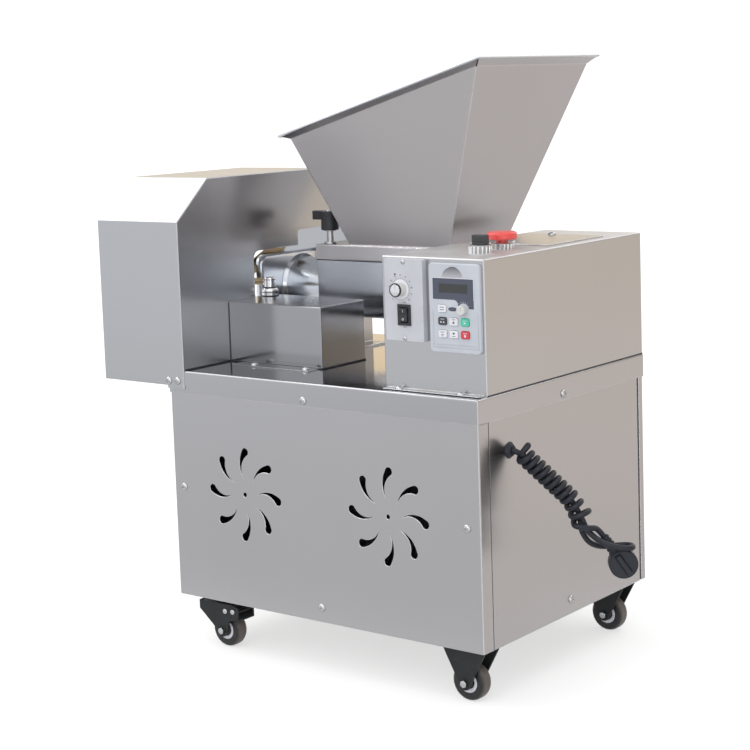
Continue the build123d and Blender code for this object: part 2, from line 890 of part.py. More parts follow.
# Trough with a rounded floor, a lug for the clamp stud and a bracket to the deck
trough_low = feed_z - trough_floor


def trough_form(wall, x0, x1, z1):
    form = block(x0, x1, trough_front + wall, trough_back - wall, trough_low + wall, z1)
    low_edges = [e for e in edges_along(form, Axis.X) if e.center().Z < feed_z]
    return fillet(low_edges, trough_corner - wall)


trough = trough_form(0.0, trough_left, box_left, trough_top)
trough -= trough_form(trough_wall, trough_left + trough_wall, box_left - trough_wall, trough_top)
tube_bore = tube_radius - tube_wall
trough -= rod_x(feed_y, feed_z, tube_bore, trough_left, trough_left + trough_wall)
for y in (front_screw_y, back_screw_y):
    trough -= rod_x(y, feed_z, bush_radius, box_left - trough_wall, box_left)
lug_low = trough_top - lug_height
trough += block(trough_left, lever_x + lug_reach, trough_front, lever_y + lug_reach, lug_low, trough_top)
trough -= rod_z(lever_x, lever_y, stud_radius + running_fit, lug_low, trough_top)
nodes["trough"] = trough

bracket_x = trough_left + bracket_inset
bracket_half = bracket_width / 2
bracket_front = feed_y - bracket_half
bracket_back = feed_y + bracket_half
bracket = block(bracket_x, bracket_x + bracket_sheet, bracket_front, bracket_back, deck_top, trough_low)
for leg_low in (deck_top, trough_low - bracket_sheet):
    bracket += block(bracket_x, bracket_x + bracket_foot, bracket_front, bracket_back,
                     leg_low, leg_low + bracket_sheet)
nodes["trough_bracket"] = bracket


# Feed screws, their bushes and the gear pair that turns them against each other
def feed_screw(y, lefthand, shaft_end):
    shaft = rod_x(y, feed_z, screw_core, screw_left, shaft_end)
    length = screw_right - screw_left - flight_thickness
    spine = Helix(pitch=screw_pitch, height=length, radius=screw_core, lefthand=lefthand)
    flight_root = screw_core - flight_root_depth
    flight_depth = screw_radius - flight_root
    section = Plane.XZ * Pos(flight_root + flight_depth / 2, 0) * Rectangle(flight_depth, flight_thickness)
    flight = sweep(section, path=spine, is_frenet=True)
    return shaft + Pos(screw_left + flight_thickness / 2, y, feed_z) * Rot(0, 90, 0) * flight


def toothed_outline(teeth, pitch_radius, tip, root):
    step = 2 * math.pi / teeth
    points = []
    for tooth in range(teeth):
        low, high = pitch_radius - root, pitch_radius + tip
        for radius, part in ((low, -tooth_root_share), (high, -tooth_tip_share), (high, tooth_tip_share),
                             (low, tooth_root_share)):
            angle = (tooth + part) * step
            points.append((radius * math.cos(angle), radius * math.sin(angle)))
    return points


def toothed_wheel(y, z, outline, x0, x1, bore):
    placed = [(y + across, z + up) for across, up in outline]
    return plate_yz(placed, x0, x1) - rod_x(y, z, bore, x0, x1)


gear_right = gear_left + gear_width
chain_left = chain_x - chain_width / 2
chain_right = chain_x + chain_width / 2
drive_end = chain_right + shaft_past
nodes["feed_screw_front"] = feed_screw(front_screw_y, False, drive_end)
nodes["feed_screw_back"] = feed_screw(back_screw_y, True, gear_right + shaft_past)


def screw_bush(y):
    flange_left = box_left + sheet
    flange_right = flange_left + bush_flange_sheet
    bush = rod_x(y, feed_z, bush_radius, box_left - trough_wall, flange_left)
    bush += rod_x(y, feed_z, bush_radius + bush_flange, flange_left, flange_right)
    return bush - rod_x(y, feed_z, screw_core + running_fit, box_left - trough_wall, flange_right)


nodes["screw_bushes"] = [screw_bush(front_screw_y), screw_bush(back_screw_y)]
gear_outline = toothed_outline(gear_teeth, screw_offset, gear_tip, gear_root)
nodes["gear_front"] = toothed_wheel(front_screw_y, feed_z, gear_outline, gear_left, gear_right, screw_core)
nodes["gear_back"] = toothed_wheel(back_screw_y, feed_z, gear_outline, gear_left, gear_right, screw_core)

# Chain drive from the gear motor on the cabinet floor
sprocket_pitch = sprocket_radius - sprocket_tip
sprocket_outline = toothed_outline(sprocket_teeth, sprocket_pitch, sprocket_tip, sprocket_root)
sprocket_left = chain_x - sprocket_width / 2
sprocket_right = chain_x + sprocket_width / 2


def sprocket_at(z, bore):
    return toothed_wheel(front_screw_y, z, sprocket_outline, sprocket_left, sprocket_right, bore)


nodes["screw_sprocket"] = sprocket_at(feed_z, screw_core)


def chain_loop(radius):
    loop = rod_x(front_screw_y, feed_z, radius, chain_left, chain_right)
    loop += rod_x(front_screw_y, motor_z, radius, chain_left, chain_right)
    return loop + block(chain_left, chain_right, front_screw_y - radius, front_screw_y + radius,
                        motor_z, feed_z)


nodes["drive_chain"] = chain_loop(chain_outer) - chain_loop(chain_inner)

gearbox_low = motor_z - gearbox_height / 2
gearbox_half = gearbox_depth / 2
gearbox = block(gearbox_left, gearbox_right, front_screw_y - gearbox_half, front_screw_y + gearbox_half,
                gearbox_low, gearbox_low + gearbox_height)
gearbox = fillet(edges_along(gearbox, Axis.X), gearbox_corner)
gearbox += rod_x(front_screw_y, motor_z, motor_radius, motor_end, gearbox_left)
stand_half = gearbox_half - gearbox_corner
gearbox += block(gearbox_left + gearbox_corner, gearbox_right - gearbox_corner, front_screw_y - stand_half,
                 front_screw_y + stand_half, floor_top, gearbox_low)
cradle_half = motor_radius * cradle_share
cradle_top = motor_z - motor_radius * (1 - cradle_share / 2)
gearbox += block(motor_end + cradle_inset, gearbox_left, front_screw_y - cradle_half,
                 front_screw_y + cradle_half, floor_top, cradle_top)
output_left = gearbox_right - output_depth
gearbox -= rod_x(front_screw_y, motor_z, output_radius + running_fit, output_left, gearbox_right)
nodes["main_motor"] = gearbox
output_shaft = rod_x(front_screw_y, motor_z, output_radius, output_left + knob_gap, drive_end)
nodes["motor_output"] = [output_shaft, sprocket_at(motor_z, output_radius)]

# Outlet head: the tube, its rounded plate and the nozzle ring
head = block(head_left, head_x, head_front, head_back,
             feed_z - head_half_height, feed_z + head_half_height)
head = fillet(edges_along(head, Axis.X), head_corner)
head = fillet(head.faces().sort_by(Axis.X)[-1].edges(), head_edge)
head += rod_x(feed_y, feed_z, tube_radius, head_x, trough_left)
weld = rod_x(feed_y, feed_z, tube_radius + weld_leg, head_x, head_x + weld_leg)
head += chamfer(weld.edges().sort_by(Axis.X)[-1:], weld_leg * weld_chamfer_share)
head -= rod_x(feed_y, feed_z, tube_bore, head_x, trough_left)
head += rod_x(feed_y, feed_z, nozzle_radius + nozzle_lip, nozzle_left, head_left)
head -= rod_x(feed_y, feed_z, nozzle_radius, nozzle_left, head_x)
nodes["outlet_head"] = head

# Hopper on a lid whose skirt drops over the trough; the mouth plane rises to the right
mouth_rise = (mouth_right_z - mouth_left_z) / (mouth_right - mouth_left)


def mouth_z(x):
    return mouth_left_z + (x - mouth_left) * mouth_rise


def base_corners(inward):
    half = hopper_half - inward
    left, right = hopper_left + inward, hopper_right - inward
    sides = ((left, -half), (right, -half), (right, half), (left, half))
    return [(x, feed_y + across, lid_top) for x, across in sides]


def mouth_corners(inward, outward, up):
    corners = []
    mouth_ends = ((mouth_left, -1, -1), (mouth_right, 1, -1), (mouth_right, 1, 1), (mouth_left, -1, 1))
    for edge_x, way, side in mouth_ends:
        x = edge_x + way * (outward - inward)
        half = hopper_half + hopper_slope * (mouth_z(edge_x) - lid_top) - inward + outward
        corners.append((x, feed_y + side * half, mouth_z(x) + up))
    return corners


hopper = polygon_solid(base_corners(0.0), mouth_corners(0.0, 0.0, 0.0))
hopper -= polygon_solid(base_corners(hopper_wall), mouth_corners(hopper_wall, 0.0, 0.0))
rim = polygon_solid(mouth_corners(0.0, 0.0, 0.0), mouth_corners(0.0, rim_out, rim_up))
rim -= polygon_solid(mouth_corners(hopper_wall, 0.0, 0.0), mouth_corners(hopper_wall, rim_out, rim_up))
lid_half = trough_half + lid_gap + lid_sheet
lid_left = trough_left - lid_gap - lid_sheet
lid_right = box_left - lid_gap
skirt_low = trough_top - lid_skirt
lid = block(lid_left, lid_right, feed_y - lid_half, feed_y + lid_half, skirt_low, lid_top)
lid = fillet([e for e in edges_along(lid, Axis.Z) if e.center().X < trough_left], bend)
lid -= block(lid_left + lid_sheet, lid_right, feed_y - lid_half + lid_sheet, feed_y + lid_half - lid_sheet,
             skirt_low, trough_top)
throat_half = hopper_half - hopper_wall
lid -= block(hopper_left + hopper_wall, hopper_right - hopper_wall,
             feed_y - throat_half, feed_y + throat_half, trough_top, lid_top)
lid -= rod_z(lever_x, lever_y, stud_radius + stud_gap, trough_top, lid_top)
nodes["hopper"] = hopper + rim + lid

# Clamp lever: threaded stud with a washer, hub and one arm
hub_low = lid_top + lever_gap
hub_top = hub_low + lever_hub_height
lever = rod_z(lever_x, lever_y, stud_radius, lug_low, hub_low)
washer_low = lid_top + lid_gap
lever += rod_z(lever_x, lever_y, washer_radius, washer_low, washer_low + washer_sheet)
hub = Cone(lever_hub_wide, lever_hub_narrow, lever_hub_height)
hub = fillet(hub.edges().filter_by(GeomType.CIRCLE), lever_round)
hub = Pos(lever_x, lever_y, (hub_low + hub_top) / 2) * hub
arm_half = lever_arm_width / 2
arm = block(lever_x - lever_reach, lever_x, lever_y - arm_half, lever_y + arm_half,
            hub_top - lever_arm_height, hub_top)
arm = fillet(edges_along(arm, Axis.Z) + edges_along(arm, Axis.X), lever_round)
nodes["clamp_lever"] = lever + hub + arm

# Cover over the cutter drive, closed on five sides, with a foot along the front
cover = block(guard_right, cover_right, cover_front, cover_back, deck_top, cover_top)
cover_corners = [e for e in edges_along(cover, Axis.Z) if e.center().X > (guard_right + cover_right) / 2]
cover = fillet(cover_corners + top_edges(cover), guard_bend)
cover -= block(guard_right + sheet, cover_right - sheet, cover_front + sheet, cover_back - sheet,
               deck_top, cover_top - sheet)
cover += block(guard_right + cover_foot, cover_right - foot_inset,
               cover_front - cover_foot, cover_front + sheet, deck_top, deck_top + sheet)
cover -= rod_z(cutter_x, cutter_y, drive_radius + stud_gap, cover_top - sheet, cover_top)
nodes["front_cover"] = cover

# Cutter drive: motor under the deck, upright shaft, mitre head, knife shaft and knife
cutter_motor = block(cutter_x - cutter_motor_half, cutter_x + cutter_motor_half, cutter_y - cutter_motor_half,
                     cutter_y + cutter_motor_half, deck_under - cutter_motor_length, deck_under)
cutter_motor = fillet(edges_along(cutter_motor, Axis.Z), cutter_motor_corner)
shaft_low = deck_under - output_depth
cutter_motor -= rod_z(cutter_x, cutter_y, drive_radius + running_fit, shaft_low, deck_under)
nodes["cutter_motor"] = cutter_motor

cone_low = mitre_z - mitre_base
cone_tip = mitre_inner - mitre_slack
mitre_cone = Cone(mitre_radius, cone_tip, mitre_base - mitre_inner)
cone_middle = (mitre_base + mitre_inner) / 2
step_z = cover_top - knob_gap
upright = rod_z(cutter_x, cutter_y, drive_radius, shaft_low + knob_gap, step_z)
upright += rod_z(cutter_x, cutter_y, shaft_step, step_z, cone_low)
nodes["cutter_shaft"] = upright + Pos(cutter_x, cutter_y, mitre_z - cone_middle) * mitre_cone

body_low = cover_top + collar_height
body_high = body_low + mitre_body_height
collar = rod_z(cutter_x, cutter_y, collar_radius, cover_top, body_low)
collar = fillet(collar.edges().sort_by(Axis.Z)[-1:], collar_round)
mitre_body = rod_z(cutter_x, cutter_y, mitre_body_radius, body_low, body_high)
mitre_body = chamfer(mitre_body.edges().sort_by(Axis.Z)[-1:], mitre_chamfer)
boss_end = cutter_x - mitre_body_radius - boss_proud
boss = rod_x(cutter_y, mitre_z, drive_radius, boss_end, cutter_x - mitre_cavity)
mitre = collar + mitre_body + boss
mitre -= rod_z(cutter_x, cutter_y, mitre_cavity, cone_low - knob_gap, body_high - mitre_wall)
mitre -= rod_z(cutter_x, cutter_y, shaft_step + running_fit, cover_top, mitre_z)
mitre -= rod_x(cutter_y, mitre_z, shaft_step + running_fit, boss_end, cutter_x)
nodes["mitre_head"] = mitre

knife_hub_left = knife_plane - knife_hub_length
knife_shaft_right = boss_end - knob_gap
knife_shaft = rod_x(cutter_y, mitre_z, shaft_step, knife_shaft_right, cutter_x - mitre_base)
knife_shaft += rod_x(cutter_y, mitre_z, drive_radius, knife_hub_left - shaft_past, knife_shaft_right)
side_cone = Pos(cutter_x - cone_middle, cutter_y, mitre_z) * Rot(0, 90, 0) * mitre_cone
nodes["knife_shaft"] = knife_shaft + side_cone

half_root = knife_root_width / 2
half_blade = knife_blade_width / 2
blade_low = knife_reach - knife_blade_length
knife_left = knife_plane - knife_sheet
tip_low = knife_reach - half_root
blade_outline = [(-half_root, 0), (-half_root, blade_low), (-half_blade, blade_low + half_blade),
                 (-half_blade, tip_low), (0, knife_reach), (half_root, tip_low), (half_root, 0)]
knife = rod_x(cutter_y, mitre_z, knife_hub_radius, knife_hub_left, knife_plane)
blade = Rot(knife_rest_angle, 0, 0) * plate_yz(blade_outline, knife_left, knife_plane)
knife += Pos(0, cutter_y, mitre_z) * blade
nodes["knife"] = knife - rod_x(cutter_y, mitre_z, drive_radius, knife_hub_left, knife_plane)


# Guard: a folded hood open below and to the left, its right wall cut out round the outlet
def guard_form(inward, low, x0, x1):
    front, back, top = inward - sheet, guard_back - inward, guard_top - inward
    front_rise = (guard_top - guard_shoulder) / (guard_top_front + sheet)
    back_rise = (guard_top - guard_back_shoulder) / (guard_back - guard_top_back)
    front_lift = inward * (math.hypot(1, front_rise) - front_rise)
    back_lift = inward * (math.hypot(1, back_rise) - back_rise)
    points = [(front, low), (front, guard_shoulder - front_lift),
              (guard_top_front + inward * (math.hypot(1, front_rise) - 1) / front_rise, top),
              (guard_top_back - inward * (math.hypot(1, back_rise) - 1) / back_rise, top),
              (back, guard_back_shoulder - back_lift), (back, low)]
    return plate_yz(points, x0, x1)


guard = guard_form(0.0, guard_low, guard_left, guard_right)
guard = fillet([e for e in guard.edges() if e.center().Z > guard_low + sheet], guard_bend)
guard -= guard_form(sheet, guard_low, guard_left + sheet, guard_right - sheet)
guard -= guard_form(guard_lip, guard_low, guard_left, guard_left + sheet)
guard -= block(-deck_width - side_gap, guard_right, 0, guard_back, guard_low, deck_top)
guard += block(-deck_width, guard_right, -sheet, 0, guard_low - guard_tab, guard_low + sheet)
wall_left = guard_right - sheet
opening = block(wall_left, guard_right, window_front, window_back, cover_top, window_top)
opening = fillet([e for e in edges_along(opening, Axis.X)
                  if e.center().Y < feed_y and e.center().Z > mitre_z], window_corner)
notch = block(wall_left, guard_right, notch_front, window_back, cover_top, notch_top)
notch = fillet([e for e in edges_along(notch, Axis.X) if e.center().Z > mitre_z], notch_corner)
passage = block(wall_left, guard_right, cover_back + passage_gap, window_back, deck_top, mitre_z)
guard -= opening + notch + passage
nodes["guard"] = guard

# Mains cord: out of the gland, down through the winding, round the fold, back up, then wound over itself
heading = math.radians(hank_heading)
hank_right = Vector(math.cos(heading), math.sin(heading), 0)
hank_near = Vector(math.sin(heading), -math.cos(heading), 0)
upward = Vector(0, 0, 1)


def hank_point(along, drop, near):
    return Vector(hank_x, hank_y, hank_z) + hank_right * along - upward * drop + hank_near * near


def falling(angle):
    turn = math.radians(angle)
    return hank_right * math.cos(turn) - upward * math.sin(turn)


wrap_top = hank_point(wrap_top_along, -wrap_top_rise, 0.0)
wrap_way = falling(wrap_fall)
wrap_side = hank_near.cross(wrap_way)


def core_point(depth, near):
    return wrap_top + wrap_way * depth + hank_near * near


def around(centre, fall, half_width, half_depth, angle):
    side = hank_near.cross(falling(fall))
    turn = math.radians(angle)
    return centre + hank_near * (half_depth * math.cos(turn)) + side * (half_width * math.sin(turn))


def between(start, end, share):
    return start + (end - start) * share


# The winding and the looser turns after it, as a point for each number of turns
wrap_end = wrap_start + wrap_pitch * wrap_turns
first_loop = hank_point(first_loop_along, first_loop_drop, 0.0)
second_loop = hank_point(second_loop_along, second_loop_drop, 0.0)


def wound_point(turns):
    angle = wrap_start_angle + 360.0 * turns
    loose = turns - wrap_turns
    if loose <= 0.0:
        centre = core_point(wrap_start + wrap_pitch * turns, 0.0)
        return around(centre, wrap_fall, wrap_half_width, wrap_half_depth, angle)
    if loose <= 1.0:
        centre = between(core_point(wrap_end, 0.0), first_loop, loose)
        fall = between(wrap_fall, first_loop_fall, loose)
        half_width = between(wrap_half_width, first_loop_half_width, loose)
        half_depth = between(wrap_half_depth, first_loop_half_depth, loose)
        return around(centre, fall, half_width, half_depth, angle)
    centre = between(first_loop, second_loop, loose - 1.0)
    fall = between(first_loop_fall, second_loop_fall, loose - 1.0)
    half_width = between(first_loop_half_width, second_loop_half_width, loose - 1.0)
    half_depth = between(first_loop_half_depth, second_loop_half_depth, loose - 1.0)
    return around(centre, fall, half_width, half_depth, angle)


def wound_way(turns):
    step = 0.002
    return (wound_point(turns + step) - wound_point(turns - step)).normalized()


plug_way = falling(plug_fall)
plug_centre = hank_point(plug_along, plug_drop, 0.0)
relief_end = plug_centre - plug_way * (plug_radius - relief_sunk + relief_length)
strand_start = core_point(strand_depth, -core_offset)
gland_face = Vector(gland_outside, strand_start.Y, strand_start.Z)
core_route = [
    gland_face, strand_start,
    hank_point(47.2, 52.7, -core_offset), hank_point(60.5, 77.5, -core_offset), hank_point(60.0, 98.7, -6.0),
    hank_point(77.0, 122.5, -13.0), hank_point(125.0, 119.5, -16.5), hank_point(125.0, 117.5, 16.5),
    hank_point(94.0, 115.0, 12.8), hank_point(68.5, 99.0, 3.0), hank_point(60.5, 77.5, core_offset),
    hank_point(47.2, 52.7, core_offset), core_point(turnover_depth + turnover_radius, core_offset),
]
last_turn = wrap_turns + loose_turns
tail_route = [
    wound_point(last_turn), wound_point(last_turn) + wound_way(last_turn) * tail_lead,
    hank_point(71.0, 90.3, 13.0), relief_end - plug_way * tail_lead, relief_end,
]


def rounded_route(points):
    runs = []
    here = points[0]
    for before, corner, after in zip(points, points[1:], points[2:]):
        arriving = corner - before
        leaving = after - corner
        reach = corner_share * min(arriving.length, leaving.length)
        turn = math.radians(arriving.get_angle(leaving))
        bend_radii.append(reach / math.tan(turn / 2))
        arc_start = corner - arriving.normalized() * reach
        arc_end = corner + leaving.normalized() * reach
        runs.append(Edge.make_line(here, arc_start))
        runs.append(Edge.make_tangent_arc(arc_start, arriving, arc_end))
        here = arc_end
    runs.append(Edge.make_line(here, points[-1]))
    return runs


def biarc(start, start_way, end, end_way):
    across = end - start
    ways = start_way + end_way
    spread = 2 * (1 - start_way.dot(end_way))
    reach = (math.sqrt(across.dot(ways) ** 2 + spread * across.dot(across)) - across.dot(ways)) / spread
    first = start + start_way * reach
    second = end - end_way * reach
    middle = (first + second) * 0.5
    opening_arc = Edge.make_tangent_arc(start, start_way, middle)
    return [opening_arc, Edge.make_tangent_arc(middle, second - first, end)]


bend_radii = []
core_runs = rounded_route(core_route)
tail_runs = rounded_route(tail_route)
over_top = core_point(turnover_depth, core_offset) + wrap_side * turnover_radius
over_side = over_top + wrap_side * turnover_radius - hank_near * turnover_radius
wound_runs = biarc(core_route[-1], wrap_way * -1, over_top, wrap_side)
wound_runs += biarc(over_top, wrap_side, over_side, hank_near * -1)
wound_runs += biarc(over_side, hank_near * -1, wound_point(0), wound_way(0))
quarters = round(last_turn * 4)
for quarter in range(quarters):
    here, there = quarter / 4, (quarter + 1) / 4
    wound_runs += biarc(wound_point(here), wound_way(here), wound_point(there), wound_way(there))
cord_edges = core_runs + wound_runs + tail_runs
cord_path = Wire(cord_edges)
cord_section = Plane(origin=gland_face, z_dir=Vector(1, 0, 0)) * Circle(cord_radius)
cord = sweep(cord_section, path=cord_path)
nodes["cord"] = cord

# The cord's least gap to itself, its tightest bends and its volume against section times length
sample_step = 1.5
neighbours = int(24.0 / sample_step)
samples = []
for edge in cord_edges:
    count = max(1, round(edge.length / sample_step))
    samples += [edge @ (index / count) for index in range(count)]
pairs = ((i, j) for i in range(len(samples)) for j in range(i + neighbours, len(samples)))
least, first, second = min(((samples[i] - samples[j]).length, i, j) for i, j in pairs)
print("cord length", round(cord_path.length, 1), "least gap to itself", round(least - 2 * cord_radius, 2),
      "between", samples[first], "and", samples[second])
print("route radii", [round(radius, 1) for radius in bend_radii])
print("wound radii", round(min(e.radius for e in wound_runs), 1), "volume share",
      round(cord.volume / (math.pi * cord_radius ** 2 * cord_path.length), 4))

# Gland through the right panel, and a round two-pin plug with a ribbed strain relief
gland_y, gland_z = gland_face.Y, gland_face.Z
gland = rod_x(gland_y, gland_z, gland_neck, body_right - gland_inside, body_right)
taper = Cone(gland_wide, gland_narrow, gland_outside - body_right)
gland += Pos((gland_outside + body_right) / 2, gland_y, gland_z) * Rot(0, 90, 0) * taper
nodes["right_panel"] -= rod_x(gland_y, gland_z, gland_neck, body_right - sheet, body_right)
nodes["cord_gland"] = gland

plug = fillet(Cylinder(plug_radius, plug_thickness).edges().filter_by(GeomType.CIRCLE), plug_round)
ridge = extrude(Rectangle(ridge_length_share * plug_radius, ridge_width), ridge_high, taper=ridge_taper)
plug += Pos(0, 0, plug_thickness / 2) * ridge & Cylinder(plug_radius - ridge_inset, 4 * plug_thickness)
relief = Cone(relief_wide, relief_narrow, relief_length)
for index in range(relief_ribs):
    share = (index + 0.5) / relief_ribs
    width = relief_wide + (relief_narrow - relief_wide) * share
    relief += Pos(0, 0, relief_length * (share - 0.5)) * Cylinder(width + rib_proud, rib_width)
plug += Pos(-(plug_radius - relief_sunk + relief_length / 2), 0, 0) * Rot(0, -90, 0) * relief
for side in (-1, 1):
    pin = Cylinder(pin_radius, pin_length)
    plug += Pos(0, side * pin_spacing / 2, -(plug_thickness + pin_length) / 2) * pin
nodes["plug"] = Plane(origin=plug_centre, x_dir=plug_way, z_dir=hank_near) * plug

# Write one file for each node, moved so that the middle of the whole object's footprint is the origin
os.makedirs("parts", exist_ok=True)


def as_compound(shape):
    solids = []
    for piece in shape if isinstance(shape, list) else [shape]:
        solids.extend(piece.solids())
    return Compound(children=solids) if len(solids) > 1 else solids[0]


cord_nodes = ("cord_gland", "cord", "plug")
whole = Compound(children=[as_compound(shape) for name, shape in nodes.items() if name not in cord_nodes])
bounds = whole.bounding_box()
shift = Pos(-(bounds.min.X + bounds.max.X) / 2, -(bounds.min.Y + bounds.max.Y) / 2, -bounds.min.Z)
print("size", bounds.size, "shift", shift.position)
for name, shape in nodes.items():
    export_step(shift * as_compound(shape), "parts/" + name + ".step")
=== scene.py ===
import math

import bmesh
import bpy
from mathutils import Matrix, Vector


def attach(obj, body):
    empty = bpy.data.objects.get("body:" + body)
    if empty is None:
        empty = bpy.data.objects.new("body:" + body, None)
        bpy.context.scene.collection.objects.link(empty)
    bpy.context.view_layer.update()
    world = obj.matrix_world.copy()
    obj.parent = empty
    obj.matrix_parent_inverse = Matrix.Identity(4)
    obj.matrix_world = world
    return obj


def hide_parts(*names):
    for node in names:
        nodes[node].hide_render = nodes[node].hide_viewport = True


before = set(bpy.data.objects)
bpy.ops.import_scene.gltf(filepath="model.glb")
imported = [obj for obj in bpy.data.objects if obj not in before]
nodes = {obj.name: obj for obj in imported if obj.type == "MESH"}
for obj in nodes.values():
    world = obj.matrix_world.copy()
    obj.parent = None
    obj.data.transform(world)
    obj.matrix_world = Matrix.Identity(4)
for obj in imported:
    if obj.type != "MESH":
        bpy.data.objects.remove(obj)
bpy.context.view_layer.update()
scene = bpy.context.scene
print("frame loaded:", len(nodes), "nodes")

mm = 0.001  # a millimetre, in metres
cornerOnFloor = Vector((0.3295, -0.226268, 0.0))  # below the deck's front right corner


def at(x, y, z):  # millimetres from that corner, into the frame's metres
    return Vector((x, y, z)) * mm + cornerOnFloor


toLeft, toRight = (-1.0, 0.0, 0.0), (1.0, 0.0, 0.0)
toFront, toBack = (0.0, -1.0, 0.0), (0.0, 1.0, 0.0)
downward, upward = (0.0, 0.0, -1.0), (0.0, 0.0, 1.0)

# camera: fitted to the photograph's cabinet, guard, hopper and castors
cameraView = {"eye": at(1233.6, -1762.3, 786.0), "turn": (83.018, 1.903, 37.6), "lens": 85.025,
              "sensor": 36.0, "shiftX": -0.0166, "shiftY": -0.0998, "farClip": 50.0}


def makeCamera(view):
    data = bpy.data.cameras.new("photoCamera")
    data.lens = view["lens"]
    data.sensor_width = view["sensor"]
    data.shift_x = view["shiftX"]
    data.shift_y = view["shiftY"]
    data.clip_end = view["farClip"]
    camera = bpy.data.objects.new("photoCamera", data)
    camera.location = view["eye"]
    camera.rotation_euler = [math.radians(v) for v in view["turn"]]
    scene.collection.objects.link(camera)
    scene.camera = camera


makeCamera(cameraView)


# small helpers for node trees
def addNode(tree, kind, inputs=None, **settings):
    node = tree.nodes.new(kind)
    for key, value in settings.items():
        setattr(node, key, value)
    for key, value in (inputs or {}).items():
        node.inputs[key].default_value = value
    return node


def wire(tree, *links):  # each link: a node, its output, the next node, its input
    for source, output, target, entry in links:
        tree.links.new(source.outputs[output], target.inputs[entry])


def newMaterial(name, **sockets):
    material = bpy.data.materials.new(name)
    material.use_nodes = True
    tree = material.node_tree
    shader = tree.nodes["Principled BSDF"]
    for key, value in sockets.items():
        shader.inputs[key.replace("_", " ")].default_value = value
    return material, tree, shader


def objectNoise(tree, scale, detail=3.0, stretch=(1.0, 1.0, 1.0), rough=0.5):
    coords = addNode(tree, "ShaderNodeTexCoord")
    mapping = addNode(tree, "ShaderNodeMapping", {"Scale": stretch})
    noise = addNode(tree, "ShaderNodeTexNoise", {"Scale": scale, "Detail": detail, "Roughness": rough})
    wire(tree, (coords, "Object", mapping, "Vector"), (mapping, "Vector", noise, "Vector"))
    return noise.outputs["Fac"]


def axes(tree, source):  # X, Y and Z of a piece's coordinates or normals, or of a direction in the room
    coords = addNode(tree, "ShaderNodeTexCoord")
    split = addNode(tree, "ShaderNodeSeparateXYZ")
    wire(tree, (coords, source, split, "Vector"))
    return split.outputs


def spread(tree, value, low, high, fromLow=0.3, fromHigh=0.7):
    limits = {"From Min": fromLow, "From Max": fromHigh, "To Min": low, "To Max": high}
    node = addNode(tree, "ShaderNodeMapRange", limits)
    tree.links.new(value, node.inputs["Value"])
    return node.outputs["Result"]


def blendColour(tree, factor, first, second):  # each colour is a tuple or a socket
    node = addNode(tree, "ShaderNodeMix", data_type="RGBA")
    for index, colour in ((6, first), (7, second)):  # the node's two colour inputs
        if isinstance(colour, bpy.types.NodeSocket):
            tree.links.new(colour, node.inputs[index])
        else:
            node.inputs[index].default_value = (*colour, 1.0)
    tree.links.new(factor, node.inputs["Factor"])
    return node.outputs[2]  # its colour output


def sums(tree, operation, first, second):
    node = addNode(tree, "ShaderNodeMath", operation=operation)
    for index, value in ((0, first), (1, second)):
        if isinstance(value, bpy.types.NodeSocket):
            tree.links.new(value, node.inputs[index])
        else:
            node.inputs[index].default_value = value
    return node.outputs[0]


def roundedNormal(tree, width):  # a bent edge that catches the light
    return addNode(tree, "ShaderNodeBevel", {"Radius": width}, samples=4).outputs["Normal"]


def edgeWearAndHighlight(tree, rounded):  # 1 on an edge that hands and cloths rub, 0 on a flat; on metal it also masks a painted highlight
    surface = addNode(tree, "ShaderNodeNewGeometry")
    likeness = addNode(tree, "ShaderNodeVectorMath", operation="DOT_PRODUCT")
    tree.links.new(rounded, likeness.inputs[0])
    tree.links.new(surface.outputs["Normal"], likeness.inputs[1])
    edge = spread(tree, likeness.outputs["Value"], 1.0, 0.0, fromLow=0.84, fromHigh=0.99)
    rubbing = spread(tree, objectNoise(tree, scale=160.0, detail=4.0), 0.35, 1.0)
    return sums(tree, "MULTIPLY", edge, rubbing)


def dress(tree, shader, colour, rough, height, bump, rounded, deep=0.0001):  # what every finish ends with
    node = addNode(tree, "ShaderNodeBump", {"Strength": bump, "Distance": deep})
    tree.links.new(rounded, node.inputs["Normal"])
    tree.links.new(height, node.inputs["Height"])
    for value, entry in ((colour, "Base Color"), (rough, "Roughness"), (node.outputs["Normal"], "Normal")):
        tree.links.new(value, shader.inputs[entry])


def shade(tone, share, lift=0.0):
    return tuple(min(1.0, v * share + lift) for v in tone)


# finishes: for satin steel, the scales of its patterns and what each does to tone and roughness
steelLook = {"brush": 2600.0, "brushStretch": 0.012, "clouds": 4.0,
             "wipes": 26.0, "wipeStretch": (1.0, 1.0, 0.5),
             "cloudTones": (0.985, 1.015), "brushTone": 1.03, "brushShare": 0.35, "edgeHighlightTone": 1.75,
             "wipeRough": (0.96, 1.05), "brushRough": (-0.003, 0.004), "edgePolish": 0.04,
             "flour": (0.8, 0.79, 0.78), "flourRough": 0.4}


